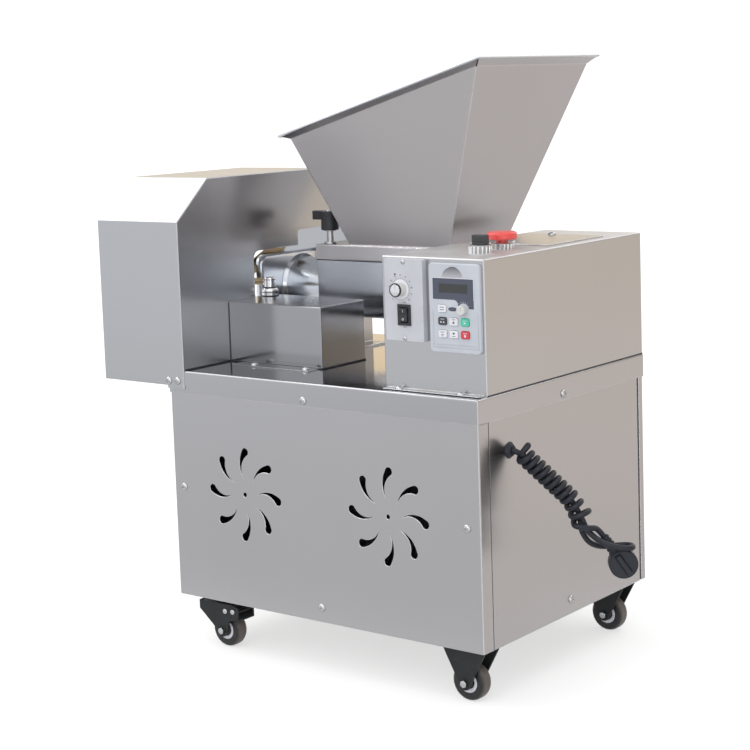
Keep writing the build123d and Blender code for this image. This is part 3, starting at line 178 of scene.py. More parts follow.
def satinSteel(name, tone, rough, along, bump=0.0004, bend=0.0018, grazing=0.85, dust=0.0):
    look = steelLook
    material, tree, shader = newMaterial(name, Metallic=1.0)
    shader.inputs["Specular Tint"].default_value = (grazing, grazing, grazing, 1.0)
    rounded = roundedNormal(tree, bend)
    edge = edgeWearAndHighlight(tree, rounded)
    stretch = [look["brushStretch"] if axis == along else 1.0 for axis in "XYZ"]
    brush = objectNoise(tree, look["brush"], detail=2.0, stretch=stretch, rough=0.6)
    clouds = objectNoise(tree, look["clouds"], detail=2.0)
    wipes = objectNoise(tree, look["wipes"], detail=5.0, stretch=look["wipeStretch"], rough=0.65)
    dim, lit = [shade(tone, share) for share in look["cloudTones"]]
    lines = spread(tree, brush, 0.0, look["brushShare"])
    colour = blendColour(tree, spread(tree, clouds, 0.0, 1.0), dim, lit)
    colour = blendColour(tree, lines, colour, shade(tone, look["brushTone"]))
    # painted highlight: edges lighter, standing in for the light that the bent steel edges catch
    colour = blendColour(tree, edge, colour, shade(tone, look["edgeHighlightTone"]))
    smooth, matt = [rough * share for share in look["wipeRough"]]
    marks = spread(tree, wipes, smooth, matt, fromLow=0.35, fromHigh=0.7)  # dried wipe marks
    satin = sums(tree, "ADD", marks, spread(tree, brush, *look["brushRough"]))
    satin = sums(tree, "SUBTRACT", satin, sums(tree, "MULTIPLY", edge, look["edgePolish"]))
    if dust:  # flour settles on what faces up
        level = spread(tree, axes(tree, "Normal")["Z"], 0.0, dust, fromLow=0.7, fromHigh=0.98)
        settled = sums(tree, "MULTIPLY", level, spread(tree, wipes, 0.7, 1.0))
        colour = blendColour(tree, settled, colour, look["flour"])
        satin = sums(tree, "ADD", satin, sums(tree, "MULTIPLY", settled, look["flourRough"]))
    dress(tree, shader, colour, satin, brush, bump, rounded)
    return material


def machinedSteel(name, tone, rough, lines=1500.0):
    material, tree, shader = newMaterial(name, Metallic=1.0)
    smears = objectNoise(tree, scale=38.0, detail=5.0, stretch=(1.0, 1.0, 0.4), rough=0.62)
    rounded = roundedNormal(tree, width=0.0006)
    colour = blendColour(tree, spread(tree, smears, 0.0, 1.0), shade(tone, 0.97), tone)
    # painted highlight: edges lighter, standing in for the light that the metal's edges catch
    colour = blendColour(tree, edgeWearAndHighlight(tree, rounded), colour, shade(tone, 1.22))
    satin = spread(tree, smears, rough * 0.9, rough * 1.12)
    dress(tree, shader, colour, satin, objectNoise(tree, lines, detail=2.0), 0.006, rounded)
    return material


def mouldedPlastic(name, colour, rough, grain=1400.0, bump=0.1, coat=0.0):
    material, tree, shader = newMaterial(name, Coat_Weight=coat, Coat_Roughness=0.15)
    patches = objectNoise(tree, scale=45.0)
    rounded = roundedNormal(tree, width=0.0005)
    body = blendColour(tree, spread(tree, patches, 0.0, 1.0), shade(colour, 0.92), colour)
    body = blendColour(tree, edgeWearAndHighlight(tree, rounded), body, shade(colour, 1.15, lift=0.02))
    satin = spread(tree, patches, rough * 0.88, min(1.0, rough * 1.15))
    dress(tree, shader, body, satin, objectNoise(tree, grain, detail=2.0), bump, rounded)
    return material


def shadedScoopPlastic(name, dark, light, span):  # painted shade: darker towards the top, where the thumb scoop's hollow lies in shade
    material, tree, shader = newMaterial(name)
    low, high = [z * mm for z in span]
    grain = objectNoise(tree, scale=900.0)
    height = spread(tree, axes(tree, "Object")["Z"], 0.0, 1.0, fromLow=low, fromHigh=high)
    level = sums(tree, "ADD", height, spread(tree, grain, -0.06, 0.06))
    colour = blendColour(tree, level, light, dark)
    rounded = roundedNormal(tree, width=0.0004)
    dress(tree, shader, colour, spread(tree, grain, 0.4, 0.52), grain, 0.06, rounded)
    return material


def paintedSteel(name, colour, rough):
    material, tree, shader = newMaterial(name, Coat_Weight=0.03, Coat_Roughness=0.35, Specular_IOR_Level=0.3)
    dust = objectNoise(tree, scale=60.0, detail=4.0, rough=0.7)
    rounded = roundedNormal(tree, width=0.0008)
    dusty = spread(tree, dust, 0.0, 1.0, fromLow=0.4, fromHigh=0.75)
    paint = blendColour(tree, dusty, colour, shade(colour, 1.4, lift=0.008))
    paint = blendColour(tree, edgeWearAndHighlight(tree, rounded), paint, shade(colour, 1.0, lift=0.11))
    satin = spread(tree, dust, rough * 0.85, rough * 1.3)
    dress(tree, shader, paint, satin, objectNoise(tree, scale=700.0), 0.15, rounded)
    return material


def rubber(name, colour, sheen, rough, tread=None):
    material, tree, shader = newMaterial(name, Sheen_Weight=sheen, Sheen_Roughness=0.4,
                                         Specular_IOR_Level=0.4)
    scuffs = objectNoise(tree, scale=180.0, detail=5.0, rough=0.7)
    scuffed = spread(tree, scuffs, 0.0, 1.0, fromLow=0.42, fromHigh=0.72)
    body = blendColour(tree, scuffed, colour, shade(colour, 1.5, lift=0.004))
    if tread:  # floor dust where the wheel runs, none on its flat sides
        flat = sums(tree, "ABSOLUTE", axes(tree, "Normal")["Y"], 0.0)
        running = spread(tree, flat, 1.0, 0.0, fromLow=0.35, fromHigh=0.9)
        dusty = sums(tree, "MULTIPLY", running, spread(tree, scuffs, 0.6, 1.0))
        body = blendColour(tree, dusty, body, tread)
    satin = spread(tree, scuffs, rough * 0.85, rough * 1.15)
    rounded = roundedNormal(tree, width=0.0005)
    dress(tree, shader, body, satin, objectNoise(tree, scale=2200.0, detail=2.0), 0.12, rounded)
    return material


steelTone = (0.5, 0.497, 0.503)
scoopSpan = (543.7, 556.2)  # heights of the inverter's thumb scoop
finish = {
    "steelAlongX": satinSteel("steelAlongX", steelTone, 0.25, "X"),
    "steelAlongY": satinSteel("steelAlongY", steelTone, 0.25, "Y"),
    "boxSteel": satinSteel("boxSteel", (0.52, 0.52, 0.53), 0.25, "Y", dust=0.7),
    "guardSteel": satinSteel("guardSteel", (0.5, 0.505, 0.515), 0.24, "Y"),
    "hopperSteel": satinSteel("hopperSteel", (0.55, 0.528, 0.535), 0.31, "Z", bend=0.003),
    "deckSteel": satinSteel("deckSteel", (0.48, 0.48, 0.49), 0.1, "X", bump=0.0006, grazing=1.0),
    "coverSteel": satinSteel("coverSteel", (0.365, 0.365, 0.38), 0.15, "X", bump=0.0006, grazing=1.0),
    "troughSteel": satinSteel("troughSteel", (0.57, 0.59, 0.63), 0.25, "X"),
    "rimSteel": satinSteel("rimSteel", (0.63, 0.65, 0.68), 0.2, "X", bump=0.001),
    # painted reflection: light and bluish, standing in for the sky the outlet head's steel reflects
    "outletSteel": satinSteel("outletSteel", (0.72, 0.75, 0.8), 0.2, "Y", bump=0.0006),
    # painted reflection: brown, standing in for the brown surroundings that the knife's polished top reflects
    "bladeSteel": machinedSteel("bladeSteel", (0.31, 0.235, 0.15), 0.24),
    "chrome": machinedSteel("chromeTrim", (0.8, 0.8, 0.81), 0.07),
    "zinc": machinedSteel("zincPlate", (0.55, 0.555, 0.56), 0.17),
    "oiledSteel": machinedSteel("oiledSteel", (0.4, 0.4, 0.41), 0.3),
    # dark steel for the knob's ring, and painted shade in the drive head's grooves and the hopper's open
    # mitre
    "darkSteelAndShade": machinedSteel("darkSteelAndShade", (0.07, 0.07, 0.075), 0.35),
    "bronze": machinedSteel("bushBronze", (0.55, 0.37, 0.17), 0.3),
    "dullSteel": satinSteel("dullSteel", (0.36, 0.36, 0.36), 0.4, "X"),
    "casting": paintedSteel("motorCasting", (0.28, 0.3, 0.31), 0.5),
    "castorBlack": paintedSteel("castorBlack", (0.012, 0.013, 0.014), 0.5),
    "tyre": rubber("castorTyre", (0.016, 0.0155, 0.017), 0.02, 0.42, tread=(0.13, 0.112, 0.1)),
    "rimWhite": mouldedPlastic("rimWhite", (0.72, 0.72, 0.78), 0.35),
    "panel": mouldedPlastic("speedPanelGrey", (0.54, 0.55, 0.59), 0.38, 900.0, 0.04),
    "black": mouldedPlastic("blackPlastic", (0.02, 0.021, 0.026), 0.4),
    "softBlack": mouldedPlastic("softBlack", (0.042, 0.042, 0.046), 0.45),
    "inverter": mouldedPlastic("inverterGrey", (0.53, 0.56, 0.61), 0.42),
    "window": mouldedPlastic("windowSlate", (0.062, 0.07, 0.105), 0.2, coat=0.3),
    "scoop": shadedScoopPlastic("thumbScoop", (0.13, 0.135, 0.15), (0.42, 0.43, 0.46), scoopSpan),
    "display": mouldedPlastic("displayGlass", (0.02, 0.023, 0.021), 0.12, coat=0.5),
    "knobGrey": mouldedPlastic("knobGrey", (0.64, 0.64, 0.63), 0.4),
    "keyWhite": mouldedPlastic("keyWhite", (0.74, 0.75, 0.79), 0.4),
    "keyDark": mouldedPlastic("keyDark", (0.05, 0.055, 0.065), 0.4),
    "keyGreen": mouldedPlastic("keyGreen", (0.07, 0.55, 0.38), 0.4),
    "keyRed": mouldedPlastic("keyRed", (0.68, 0.05, 0.07), 0.4),
    "stopRed": mouldedPlastic("stopRed", (0.85, 0.085, 0.075), 0.3, coat=0.2),
    "cord": rubber("cordRubber", (0.010, 0.0115, 0.019), 0.03, 0.46),
    "inkDark": mouldedPlastic("inkDark", (0.03, 0.03, 0.045), 0.5),
    "inkWhite": mouldedPlastic("inkWhite", (0.78, 0.78, 0.81), 0.5),
}

# which finish each solid wears
solidFinish = {
    "steelAlongX": ["front_panel", "back_panel", "access_plate", "trough_bracket"],
    "troughSteel": ["trough"],
    "steelAlongY": ["right_panel", "left_panel"],
    "boxSteel": ["control_box"],
    "deckSteel": ["deck"],
    "coverSteel": ["front_cover"],
    "guardSteel": ["guard"],
    "hopperSteel": ["hopper"],
    "outletSteel": ["outlet_head", "feed_screw_front", "feed_screw_back"],
    "bladeSteel": ["knife", "knife_shaft", "cutter_shaft"],
    "chrome": ["button_bezels", "mitre_head"],
    "oiledSteel": ["gear_front", "gear_back", "screw_sprocket", "drive_chain", "motor_output"],
    "bronze": ["screw_bushes"],
    "dullSteel": ["base_frame"],
    "casting": ["main_motor", "cutter_motor"],
    "castorBlack": ["rigid_forks", "rigid_axles", "swivel_plates", "swivel_fork_front", "swivel_fork_back",
                    "brake_pedal_front", "brake_pedal_back"],
    "tyre": ["wheel_front_right", "wheel_back_right", "wheel_front_left", "wheel_back_left"],
    "panel": ["speed_panel"],
    "black": ["rocker_frame", "rocker", "clamp_lever"],
    "softBlack": ["selector"],
    "inverter": ["inverter"],
    "window": ["inverter_window"],
    "knobGrey": ["inverter_knob", "speed_knob"],
    "keyWhite": ["key_program", "key_up", "key_enter", "key_down"],
    "keyDark": ["key_shift"],
    "keyGreen": ["key_run"],
    "keyRed": ["key_stop"],
    "stopRed": ["stop_button"],
    "cord": ["cord_gland", "cord", "plug"],
}
for finishName, members in solidFinish.items():
    for member in members:
        slots = nodes[member].data.materials
        for index in range(len(slots)):
            slots[index] = finish[finishName]
print("finishes on", sum(len(members) for members in solidFinish.values()), "solids")


# making and placing pieces
def asObject(name, mesh, body, material=None, sharp=35.0):
    if material:
        mesh.materials.clear()
        mesh.materials.append(material)
    mesh.shade_smooth()
    mesh.set_sharp_from_angle(angle=math.radians(sharp))
    piece = bpy.data.objects.new(name, mesh)
    scene.collection.objects.link(piece)
    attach(piece, body)
    return piece


def meshFrom(name, shape):
    bmesh.ops.remove_doubles(shape, verts=shape.verts, dist=1e-7)
    bmesh.ops.recalc_face_normals(shape, faces=shape.faces)
    mesh = bpy.data.meshes.new(name)
    shape.to_mesh(mesh)
    shape.free()
    return mesh


def turnedShape(profile, steps):  # profile: (radius, height) from the axis round to the axis, in mm
    shape = bmesh.new()
    rings = []
    for radius, height in profile:
        if radius < 1e-6:
            rings.append([shape.verts.new((0.0, 0.0, height * mm))] * steps)
            continue
        ring = []
        for step in range(steps):
            angle = 2.0 * math.pi * step / steps
            spot = (radius * math.cos(angle), radius * math.sin(angle), height)
            ring.append(shape.verts.new(Vector(spot) * mm))
        rings.append(ring)
    for low, high in zip(rings, rings[1:]):
        for step in range(steps):
            after = (step + 1) % steps
            corners = [low[step], low[after], high[after], high[step]]
            corners = [v for i, v in enumerate(corners) if v not in corners[:i]]
            if len(corners) > 2:
                shape.faces.new(corners)
    return shape


def facing(direction):  # turns +Z to that direction
    return Vector(direction).to_track_quat("Z", "Y").to_matrix().to_4x4()


def placedTurning(name, profile, steps, spot, direction):
    mesh = meshFrom(name, turnedShape(profile, steps))
    mesh.transform(Matrix.Translation(at(*spot)) @ facing(direction))
    return mesh


def joined(name, meshes):
    shape = bmesh.new()
    for mesh in meshes:
        shape.from_mesh(mesh)
    return meshFrom(name, shape)


def printedShape(outlines, proud):  # flat outlines in X and Z, given a thickness towards the front
    shape = bmesh.new()
    for outline in outlines:
        front = [shape.verts.new((x * mm, -proud * mm, z * mm)) for x, z in outline]
        back = [shape.verts.new((x * mm, 0.0, z * mm)) for x, z in outline]
        shape.faces.new(front)
        shape.faces.new(back[::-1])
        for index in range(len(outline)):
            after = (index + 1) % len(outline)
            shape.faces.new([front[index], back[index], back[after], front[after]])
    return shape


def onFront(name, outlines, y, body, material, proud=0.2):
    mesh = meshFrom(name, printedShape(outlines, proud))
    mesh.transform(Matrix.Translation(at(0.0, y, 0.0)))
    return asObject(name, mesh, body, material)


def rectangle(x, z, width, height):
    halfWidth, halfHeight = width / 2, height / 2
    return [(x - halfWidth, z - halfHeight), (x + halfWidth, z - halfHeight),
            (x + halfWidth, z + halfHeight), (x - halfWidth, z + halfHeight)]


def arcPoints(x, z, radius, start, end, steps):
    points = []
    for i in range(steps + 1):
        angle = math.radians(start + (end - start) * i / steps)
        points.append((x + radius * math.cos(angle), z + radius * math.sin(angle)))
    return points


def spokes(x, z, inner, outer, angles, width):
    outlines = []
    for degrees in angles:
        out = Vector((math.cos(math.radians(degrees)), math.sin(math.radians(degrees))))
        across = Vector((-out.y, out.x)) * width / 2
        near, far = Vector((x, z)) + out * inner, Vector((x, z)) + out * outer
        corners = (near + across, near - across, far - across, far + across)
        outlines.append([tuple(corner) for corner in corners])
    return outlines


# mains cord: the route's own points, with the winding's turns worked out by a loop
cordPlan = {
    "radius": 3.75, "length": 1.323, "roundness": 5, "smoothness": 6, "glandOut": 4.0,
    "hank": (28.5, 75.3), "heading": 37.7, "topAlong": -15.7, "topHeight": 321.0, "fall": 45.0,
    "coreOffset": 4.0, "strandDepth": 2.0, "strand": [(47.2, 259.0), (60.5, 234.2)],
    "lowLoop": [(60.0, 213.0, -6.0), (77.0, 189.2, -13.0), (125.0, 192.2, -16.5), (125.0, 194.2, 16.5),
                (94.0, 196.7, 12.8), (68.5, 212.7, 3.0)],
    "turnoverDepth": 3.0, "turnoverRadius": 6.5,
    "start": 6.8, "startAngle": 180.0, "turns": 8.75, "pitch": 9.35, "perTurn": 16,
    "halfWidth": 9.4, "halfDepth": 12.2, "looseTurns": 2.5,
    "firstLoop": {"along": 53.4, "height": 247.3, "width": 10.1, "depth": 12.6, "fall": 48.5},
    "secondLoop": {"along": 59.75, "height": 235.9, "width": 12.0, "depth": 13.2, "fall": 64.3},
    "leadTurns": 0.004, "tailLead": 14.0, "tail": (71.0, 221.4, 13.0),
    "plug": (112.4, 172.2), "plugFall": 55.7, "plugReach": 42.5,
}


def cordPoints(plan):
    heading = math.radians(plan["heading"])
    right = Vector((math.cos(heading), math.sin(heading), 0.0))
    near = Vector((math.sin(heading), -math.cos(heading), 0.0))
    up = Vector(upward)

    def hankPoint(along, height, toward):
        return Vector((*plan["hank"], 0.0)) + right * along + up * height + near * toward

    def falling(angle):
        turn = math.radians(angle)
        return right * math.cos(turn) - up * math.sin(turn)

    top = hankPoint(plan["topAlong"], plan["topHeight"], 0.0)
    way = falling(plan["fall"])
    side = near.cross(way)
    offset = plan["coreOffset"]

    def corePoint(depth, toward):
        return top + way * depth + near * toward

    def loopAt(centre, fall, width, depth):
        return {"centre": centre, "fall": fall, "width": width, "depth": depth}

    def looseLoop(given):
        centre = hankPoint(given["along"], given["height"], 0.0)
        return loopAt(centre, given["fall"], given["width"], given["depth"])

    def between(first, second, share):
        return {key: first[key] + (second[key] - first[key]) * share for key in first}

    def woundPoint(turns):
        depth = plan["start"] + plan["pitch"] * min(turns, plan["turns"])
        loop = loopAt(corePoint(depth, 0.0), plan["fall"], plan["halfWidth"], plan["halfDepth"])
        loose = turns - plan["turns"]
        first, second = looseLoop(plan["firstLoop"]), looseLoop(plan["secondLoop"])
        if 0.0 < loose <= 1.0:
            loop = between(loop, first, loose)
        if loose > 1.0:
            loop = between(first, second, loose - 1.0)
        turn = math.radians(plan["startAngle"] + 360.0 * turns)
        across = near.cross(falling(loop["fall"]))
        return (loop["centre"] + near * (loop["depth"] * math.cos(turn))
                + across * (loop["width"] * math.sin(turn)))

    strandStart = corePoint(plan["strandDepth"], -offset)
    gland = Vector((plan["glandOut"], strandStart.y, strandStart.z))
    points = [gland, strandStart]
    points += [hankPoint(*spot, -offset) for spot in plan["strand"]]
    points += [hankPoint(*spot) for spot in plan["lowLoop"]]
    points += [hankPoint(*spot, offset) for spot in reversed(plan["strand"])]
    depth, bend = plan["turnoverDepth"], plan["turnoverRadius"]
    overTop = corePoint(depth, offset)
    points += [corePoint(depth + bend, offset), overTop]
    points += [overTop + side * 2 * bend, overTop + side * 2 * bend - near * bend]
    last = plan["turns"] + plan["looseTurns"]
    steps = round(last * plan["perTurn"])
    points += [woundPoint(last * i / steps) for i in range(steps + 1)]
    lead = (woundPoint(last) - woundPoint(last - plan["leadTurns"])).normalized()
    plugWay = falling(plan["plugFall"])
    reliefEnd = hankPoint(*plan["plug"], 0.0) - plugWay * plan["plugReach"]
    points += [woundPoint(last) + lead * plan["tailLead"], hankPoint(*plan["tail"]),
               reliefEnd - plugWay * plan["tailLead"], reliefEnd]
    return [at(*p) for p in points]


def makeCord(plan):
    points = cordPoints(plan)
    curve = bpy.data.curves.new("mainsCord", "CURVE")
    curve.dimensions = "3D"
    curve.bevel_depth = plan["radius"] * mm
    curve.bevel_resolution = plan["roundness"]
    curve.resolution_u = plan["smoothness"]
    curve.use_fill_caps = True
    spline = curve.splines.new("NURBS")
    spline.points.add(len(points) - 1)
    for target, point in zip(spline.points, points):
        target.co = (*point, 1.0)
    spline.order_u = 3
    spline.use_endpoint_u = True
    curve.materials.append(finish["cord"])
    piece = bpy.data.objects.new("mainsCord", curve)
    scene.collection.objects.link(piece)
    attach(piece, "machine")
    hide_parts("cord")


makeCord(cordPlan)


# screws, bolts and rivets: one head shape each, set out by Geometry Nodes
def newTree(name, sockets, result):
    tree = bpy.data.node_groups.new(name, "GeometryNodeTree")
    for label, kind in sockets:
        tree.interface.new_socket(label, in_out="INPUT", socket_type="NodeSocket" + kind)
    tree.interface.new_socket(result, in_out="OUTPUT", socket_type="NodeSocketGeometry")
    return tree, addNode(tree, "NodeGroupInput"), addNode(tree, "NodeGroupOutput")


def scatterTree():
    sockets = [("Places", "Geometry"), ("Head", "Object"), ("Size", "Float"), ("Turn Seed", "Int"),
               ("Finish", "Material")]
    tree, given, result = newTree("headsOnPoints", sockets, "Heads")
    head = addNode(tree, "GeometryNodeObjectInfo")
    outward = addNode(tree, "GeometryNodeInputNamedAttribute", {"Name": "outward"}, data_type="FLOAT_VECTOR")
    aligned = addNode(tree, "FunctionNodeAlignRotationToVector", axis="Z")
    turnLimits = {2: 0.0, 3: 1.5}  # the random node's float limits, in radians
    chance = addNode(tree, "FunctionNodeRandomValue", turnLimits, data_type="FLOAT")
    spin = addNode(tree, "FunctionNodeAxisAngleToRotation", {"Axis": upward})
    turned = addNode(tree, "FunctionNodeRotateRotation", rotation_space="LOCAL")
    instances = addNode(tree, "GeometryNodeInstanceOnPoints")
    realize = addNode(tree, "GeometryNodeRealizeInstances")
    paint = addNode(tree, "GeometryNodeSetMaterial")
    wire(tree, (given, "Head", head, "Object"), (outward, "Attribute", aligned, "Vector"),
         (given, "Turn Seed", chance, "Seed"), (chance, 1, spin, "Angle"),
         (aligned, "Rotation", turned, "Rotation"), (spin, "Rotation", turned, "Rotate By"),
         (given, "Places", instances, "Points"), (head, "Geometry", instances, "Instance"),
         (turned, "Rotation", instances, "Rotation"), (given, "Size", instances, "Scale"),
         (instances, "Instances", realize, "Geometry"), (realize, "Geometry", paint, "Geometry"),
         (given, "Finish", paint, "Material"), (paint, "Geometry", result, "Heads"))
    return tree


def ribTree():  # upright round ribs in a ring, as on a knurled bezel
    sockets = [("Count", "Int"), ("Ring Radius", "Float"), ("Rib Radius", "Float"), ("Rib Height", "Float"),
               ("Place", "Vector"), ("Finish", "Material")]
    tree, given, result = newTree("ribsInRing", sockets, "Ribs")
    ring = addNode(tree, "GeometryNodeMeshCircle")
    rib = addNode(tree, "GeometryNodeMeshCylinder", {"Vertices": 8})
    instances = addNode(tree, "GeometryNodeInstanceOnPoints")
    realize = addNode(tree, "GeometryNodeRealizeInstances")
    moved = addNode(tree, "GeometryNodeTransform")
    paint = addNode(tree, "GeometryNodeSetMaterial")
    wire(tree, (given, "Count", ring, "Vertices"), (given, "Ring Radius", ring, "Radius"),
         (given, "Rib Radius", rib, "Radius"), (given, "Rib Height", rib, "Depth"),
         (ring, "Mesh", instances, "Points"), (rib, "Mesh", instances, "Instance"),
         (instances, "Instances", realize, "Geometry"), (realize, "Geometry", moved, "Geometry"),
         (given, "Place", moved, "Translation"), (moved, "Geometry", paint, "Geometry"),
         (given, "Finish", paint, "Material"), (paint, "Geometry", result, "Ribs"))
    return tree


headsOnPoints = scatterTree()
ribsInRing = ribTree()


def evaluatedMesh(holder, name):
    bpy.context.view_layer.update()
    depsgraph = bpy.context.evaluated_depsgraph_get()
    mesh = bpy.data.meshes.new_from_object(holder.evaluated_get(depsgraph))
    mesh.name = name
    return mesh


def grown(name, start, tree, values):  # what a tree makes of a start mesh, as a plain mesh
    holder = bpy.data.objects.new(name + "Holder", start)
    scene.collection.objects.link(holder)
    modifier = holder.modifiers.new(name, "NODES")
    modifier.node_group = tree
    for item in tree.interface.items_tree:
        if item.in_out == "INPUT" and item.name in values:
            modifier[item.identifier] = values[item.name]
    mesh = evaluatedMesh(holder, name)
    holder.modifiers.clear()
    bpy.data.objects.remove(holder)
    return mesh


def scatter(name, headMesh, places, size, seed, body):
    head = bpy.data.objects.new(name + "Head", headMesh)
    scene.collection.objects.link(head)
    points = bpy.data.meshes.new(name + "Places")
    points.from_pydata([at(*place) for place, _ in places], [], [])
    outward = points.attributes.new("outward", "FLOAT_VECTOR", "POINT")
    for index, (_, direction) in enumerate(places):
        outward.data[index].vector = direction
    values = {"Head": head, "Size": size, "Turn Seed": seed, "Finish": finish["zinc"]}
    mesh = grown(name, points, headsOnPoints, values)
    bpy.data.objects.remove(head)
    return asObject(name, mesh, body, sharp=40.0)


crossPlan = {"dome": [(0.0, 0.72), (0.35, 0.69), (0.68, 0.58), (0.92, 0.4), (1.06, 0.2), (1.1, 0.05),
                      (1.1, -0.05), (0.0, -0.05)], "sides": 28,
             "slotLong": 0.9, "slotWide": 0.17, "slotHigh": 0.6, "slotLevel": 0.74}


def crossHead(plan):  # mushroom head with a cross recess, 1.1 mm in radius until a tree sets its size
    dome = meshFrom("crossHead", turnedShape(plan["dome"], plan["sides"]))
    head = bpy.data.objects.new("crossHeadSolid", dome)
    scene.collection.objects.link(head)
    cutter = bmesh.new()
    length, width, height = plan["slotLong"], plan["slotWide"], plan["slotHigh"]
    for size in ((length, width, height), (width, length, height)):
        cube = bmesh.ops.create_cube(cutter, size=1.0)
        bmesh.ops.scale(cutter, vec=Vector(size) * mm, verts=cube["verts"])
        bmesh.ops.translate(cutter, vec=(0.0, 0.0, plan["slotLevel"] * mm), verts=cube["verts"])
    slot = bpy.data.objects.new("crossSlot", meshFrom("crossSlot", cutter))
    scene.collection.objects.link(slot)
    cut = head.modifiers.new("recess", "BOOLEAN")
    cut.object = slot
    cut.use_self = True
    recessed = evaluatedMesh(head, "crossHeadCut")
    bpy.data.objects.remove(head)
    bpy.data.objects.remove(slot)
    return recessed


def domeHead(rise=0.5, sunk=-0.05, sides=24):  # 1 mm in radius
    dome = [(0.0, rise)]
    for degrees in range(15, 91, 15):
        angle = math.radians(degrees)
        dome.append((math.sin(angle), rise * math.cos(angle)))
    return meshFrom("domeHead", turnedShape(dome + [(1.0, sunk), (0.0, sunk)], sides))


def hexHead(height, corner=1.1547, top=1.0, chamfer=0.1):  # 2 mm across flats, with a chamfered top
    shape = bmesh.new()
    rings = []
    for radius, level in ((corner, 0.0), (corner, height - chamfer), (top, height)):
        ring = []
        for step in range(6):
            angle = math.pi * step / 3
            spot = Vector((radius * math.cos(angle), radius * math.sin(angle), level))
            ring.append(shape.verts.new(spot * mm))
        rings.append(ring)
    for low, high in zip(rings, rings[1:]):
        for i in range(6):
            shape.faces.new([low[i], low[(i + 1) % 6], high[(i + 1) % 6], high[i]])
    shape.faces.new(rings[-1])
    shape.faces.new(rings[0][::-1])
    return meshFrom("hexHead", shape)


screwPlan = {
    "panHead": 5.3, "panelHead": 2.9,
    "front": [(-283.0, 0.0, 370.8), (-511.5, 1.5, 228.2), (-22.2, 1.5, 230.1), (-264.8, 1.5, 90.2),
              (-529.4, -1.5, 379.7), (-512.3, -1.5, 380.3)],
    "side": [(0.0, 198.0, 371.8), (-1.5, 208.5, 89.8)],
    "top": [(-440.0, 80.0, 396.5), (-345.0, 80.0, 396.5), (-133.4, 17.0, 396.5), (-36.5, 17.0, 396.5),
            (-93.5, 326.0, 569.0), (-78.0, 201.0, 569.0)],
    "panel": [(-120.2, 15.0, 560.7), (-120.2, 15.0, 462.5)],
    "left": [(-530.0, 208.5, 89.8), (-531.5, 198.0, 371.8)],
    "back": [(-511.5, 410.5, 228.2), (-22.2, 410.5, 230.1), (-264.8, 410.5, 90.2), (-264.8, 412.0, 371.0)],
}


def makeScrews(plan):
    head = crossHead(crossPlan)
    ways = {"front": toFront, "side": toRight, "top": upward, "left": toLeft, "back": toBack}
    places = [(spot, way) for face, way in ways.items() for spot in plan[face]]
    scatter("cabinetScrews", head, places, plan["panHead"], seed=3, body="machine")
    panel = [(spot, toFront) for spot in plan["panel"]]
    scatter("panelScrews", head, panel, plan["panelHead"], seed=8, body="machine")


castorPlan = {"rows": (24.0, 368.0), "rigidX": -37.0, "swivelX": -456.0, "kingpinX": -478.0, "axleZ": 25.0,
              "half": 17.0, "hex": 4.3, "headHigh": 0.95, "nutHigh": 1.25,
              "rivets": ((6.7, 54.0), (21.0, 55.0)), "rivet": 4.0,
              "plateLow": 69.5, "boltX": 25.0, "boltY": 17.0, "plateBolt": 3.4}


def makeCastorMetal(plan):
    tall, low = hexHead(plan["nutHigh"]), hexHead(plan["headHigh"])
    for place, y in zip(("front", "back"), plan["rows"]):
        swivel = "swivel_" + place
        for name, x, body in (("rigid", plan["rigidX"], "machine"), ("swivel", plan["swivelX"], swivel)):
            front = [((x, y - plan["half"], plan["axleZ"]), toFront)]
            back = [((x, y + plan["half"], plan["axleZ"]), toBack)]
            label = name + place.title()
            scatter(label + "BoltHead", low, front, plan["hex"], seed=2, body=body)
            scatter(label + "Nut", tall, back, plan["hex"], seed=5, body=body)
        rivets = []
        for ahead, z in plan["rivets"]:
            for side in (-1.0, 1.0):
                rivets.append(((plan["swivelX"] + ahead, y + side * plan["half"], z), (0.0, side, 0.0)))
        scatter("forkRivets" + place.title(), domeHead(), rivets, plan["rivet"], seed=1, body=swivel)
    bolts = []
    for y in plan["rows"]:
        for sideX in (-1.0, 1.0):
            for sideY in (-1.0, 1.0):
                spot = (plan["kingpinX"] + sideX * plan["boltX"], y + sideY * plan["boltY"], plan["plateLow"])
                bolts.append((spot, downward))
    scatter("plateBolts", domeHead(), bolts, plan["plateBolt"], seed=4, body="machine")


# pale ring moulded into each side of a wheel
rimPlan = {"faces": 10.0, "sides": 48,
           "ring": [(9.2, -2.6), (9.2, -1.3), (9.8, -0.6), (11.2, -0.4), (11.4, -0.8), (11.7, -0.4),
                    (13.3, -0.3), (14.2, -0.9), (14.45, -2.6), (9.2, -2.6)]}


def makeRims(plan, castor):
    right, left = castor["rigidX"], castor["swivelX"]
    front, back = castor["rows"]
    spots = {"wheel_front_right": (right, front), "wheel_back_right": (right, back),
             "wheel_front_left": (left, front), "wheel_back_left": (left, back)}
    for body, (x, y) in spots.items():
        sides = []
        for side in (-1.0, 1.0):
            spot = (x, y + side * plan["faces"], castor["axleZ"])
            sides.append(placedTurning("rimSide", plan["ring"], plan["sides"], spot, (0.0, side, 0.0)))
        name = "rim" + body.title().replace("_", "")
        asObject(name, joined(name, sides), body, finish["rimWhite"])


makeScrews(screwPlan)
makeCastorMetal(castorPlan)
makeRims(rimPlan, castorPlan)
print("screws, bolts, rivets and rims set")


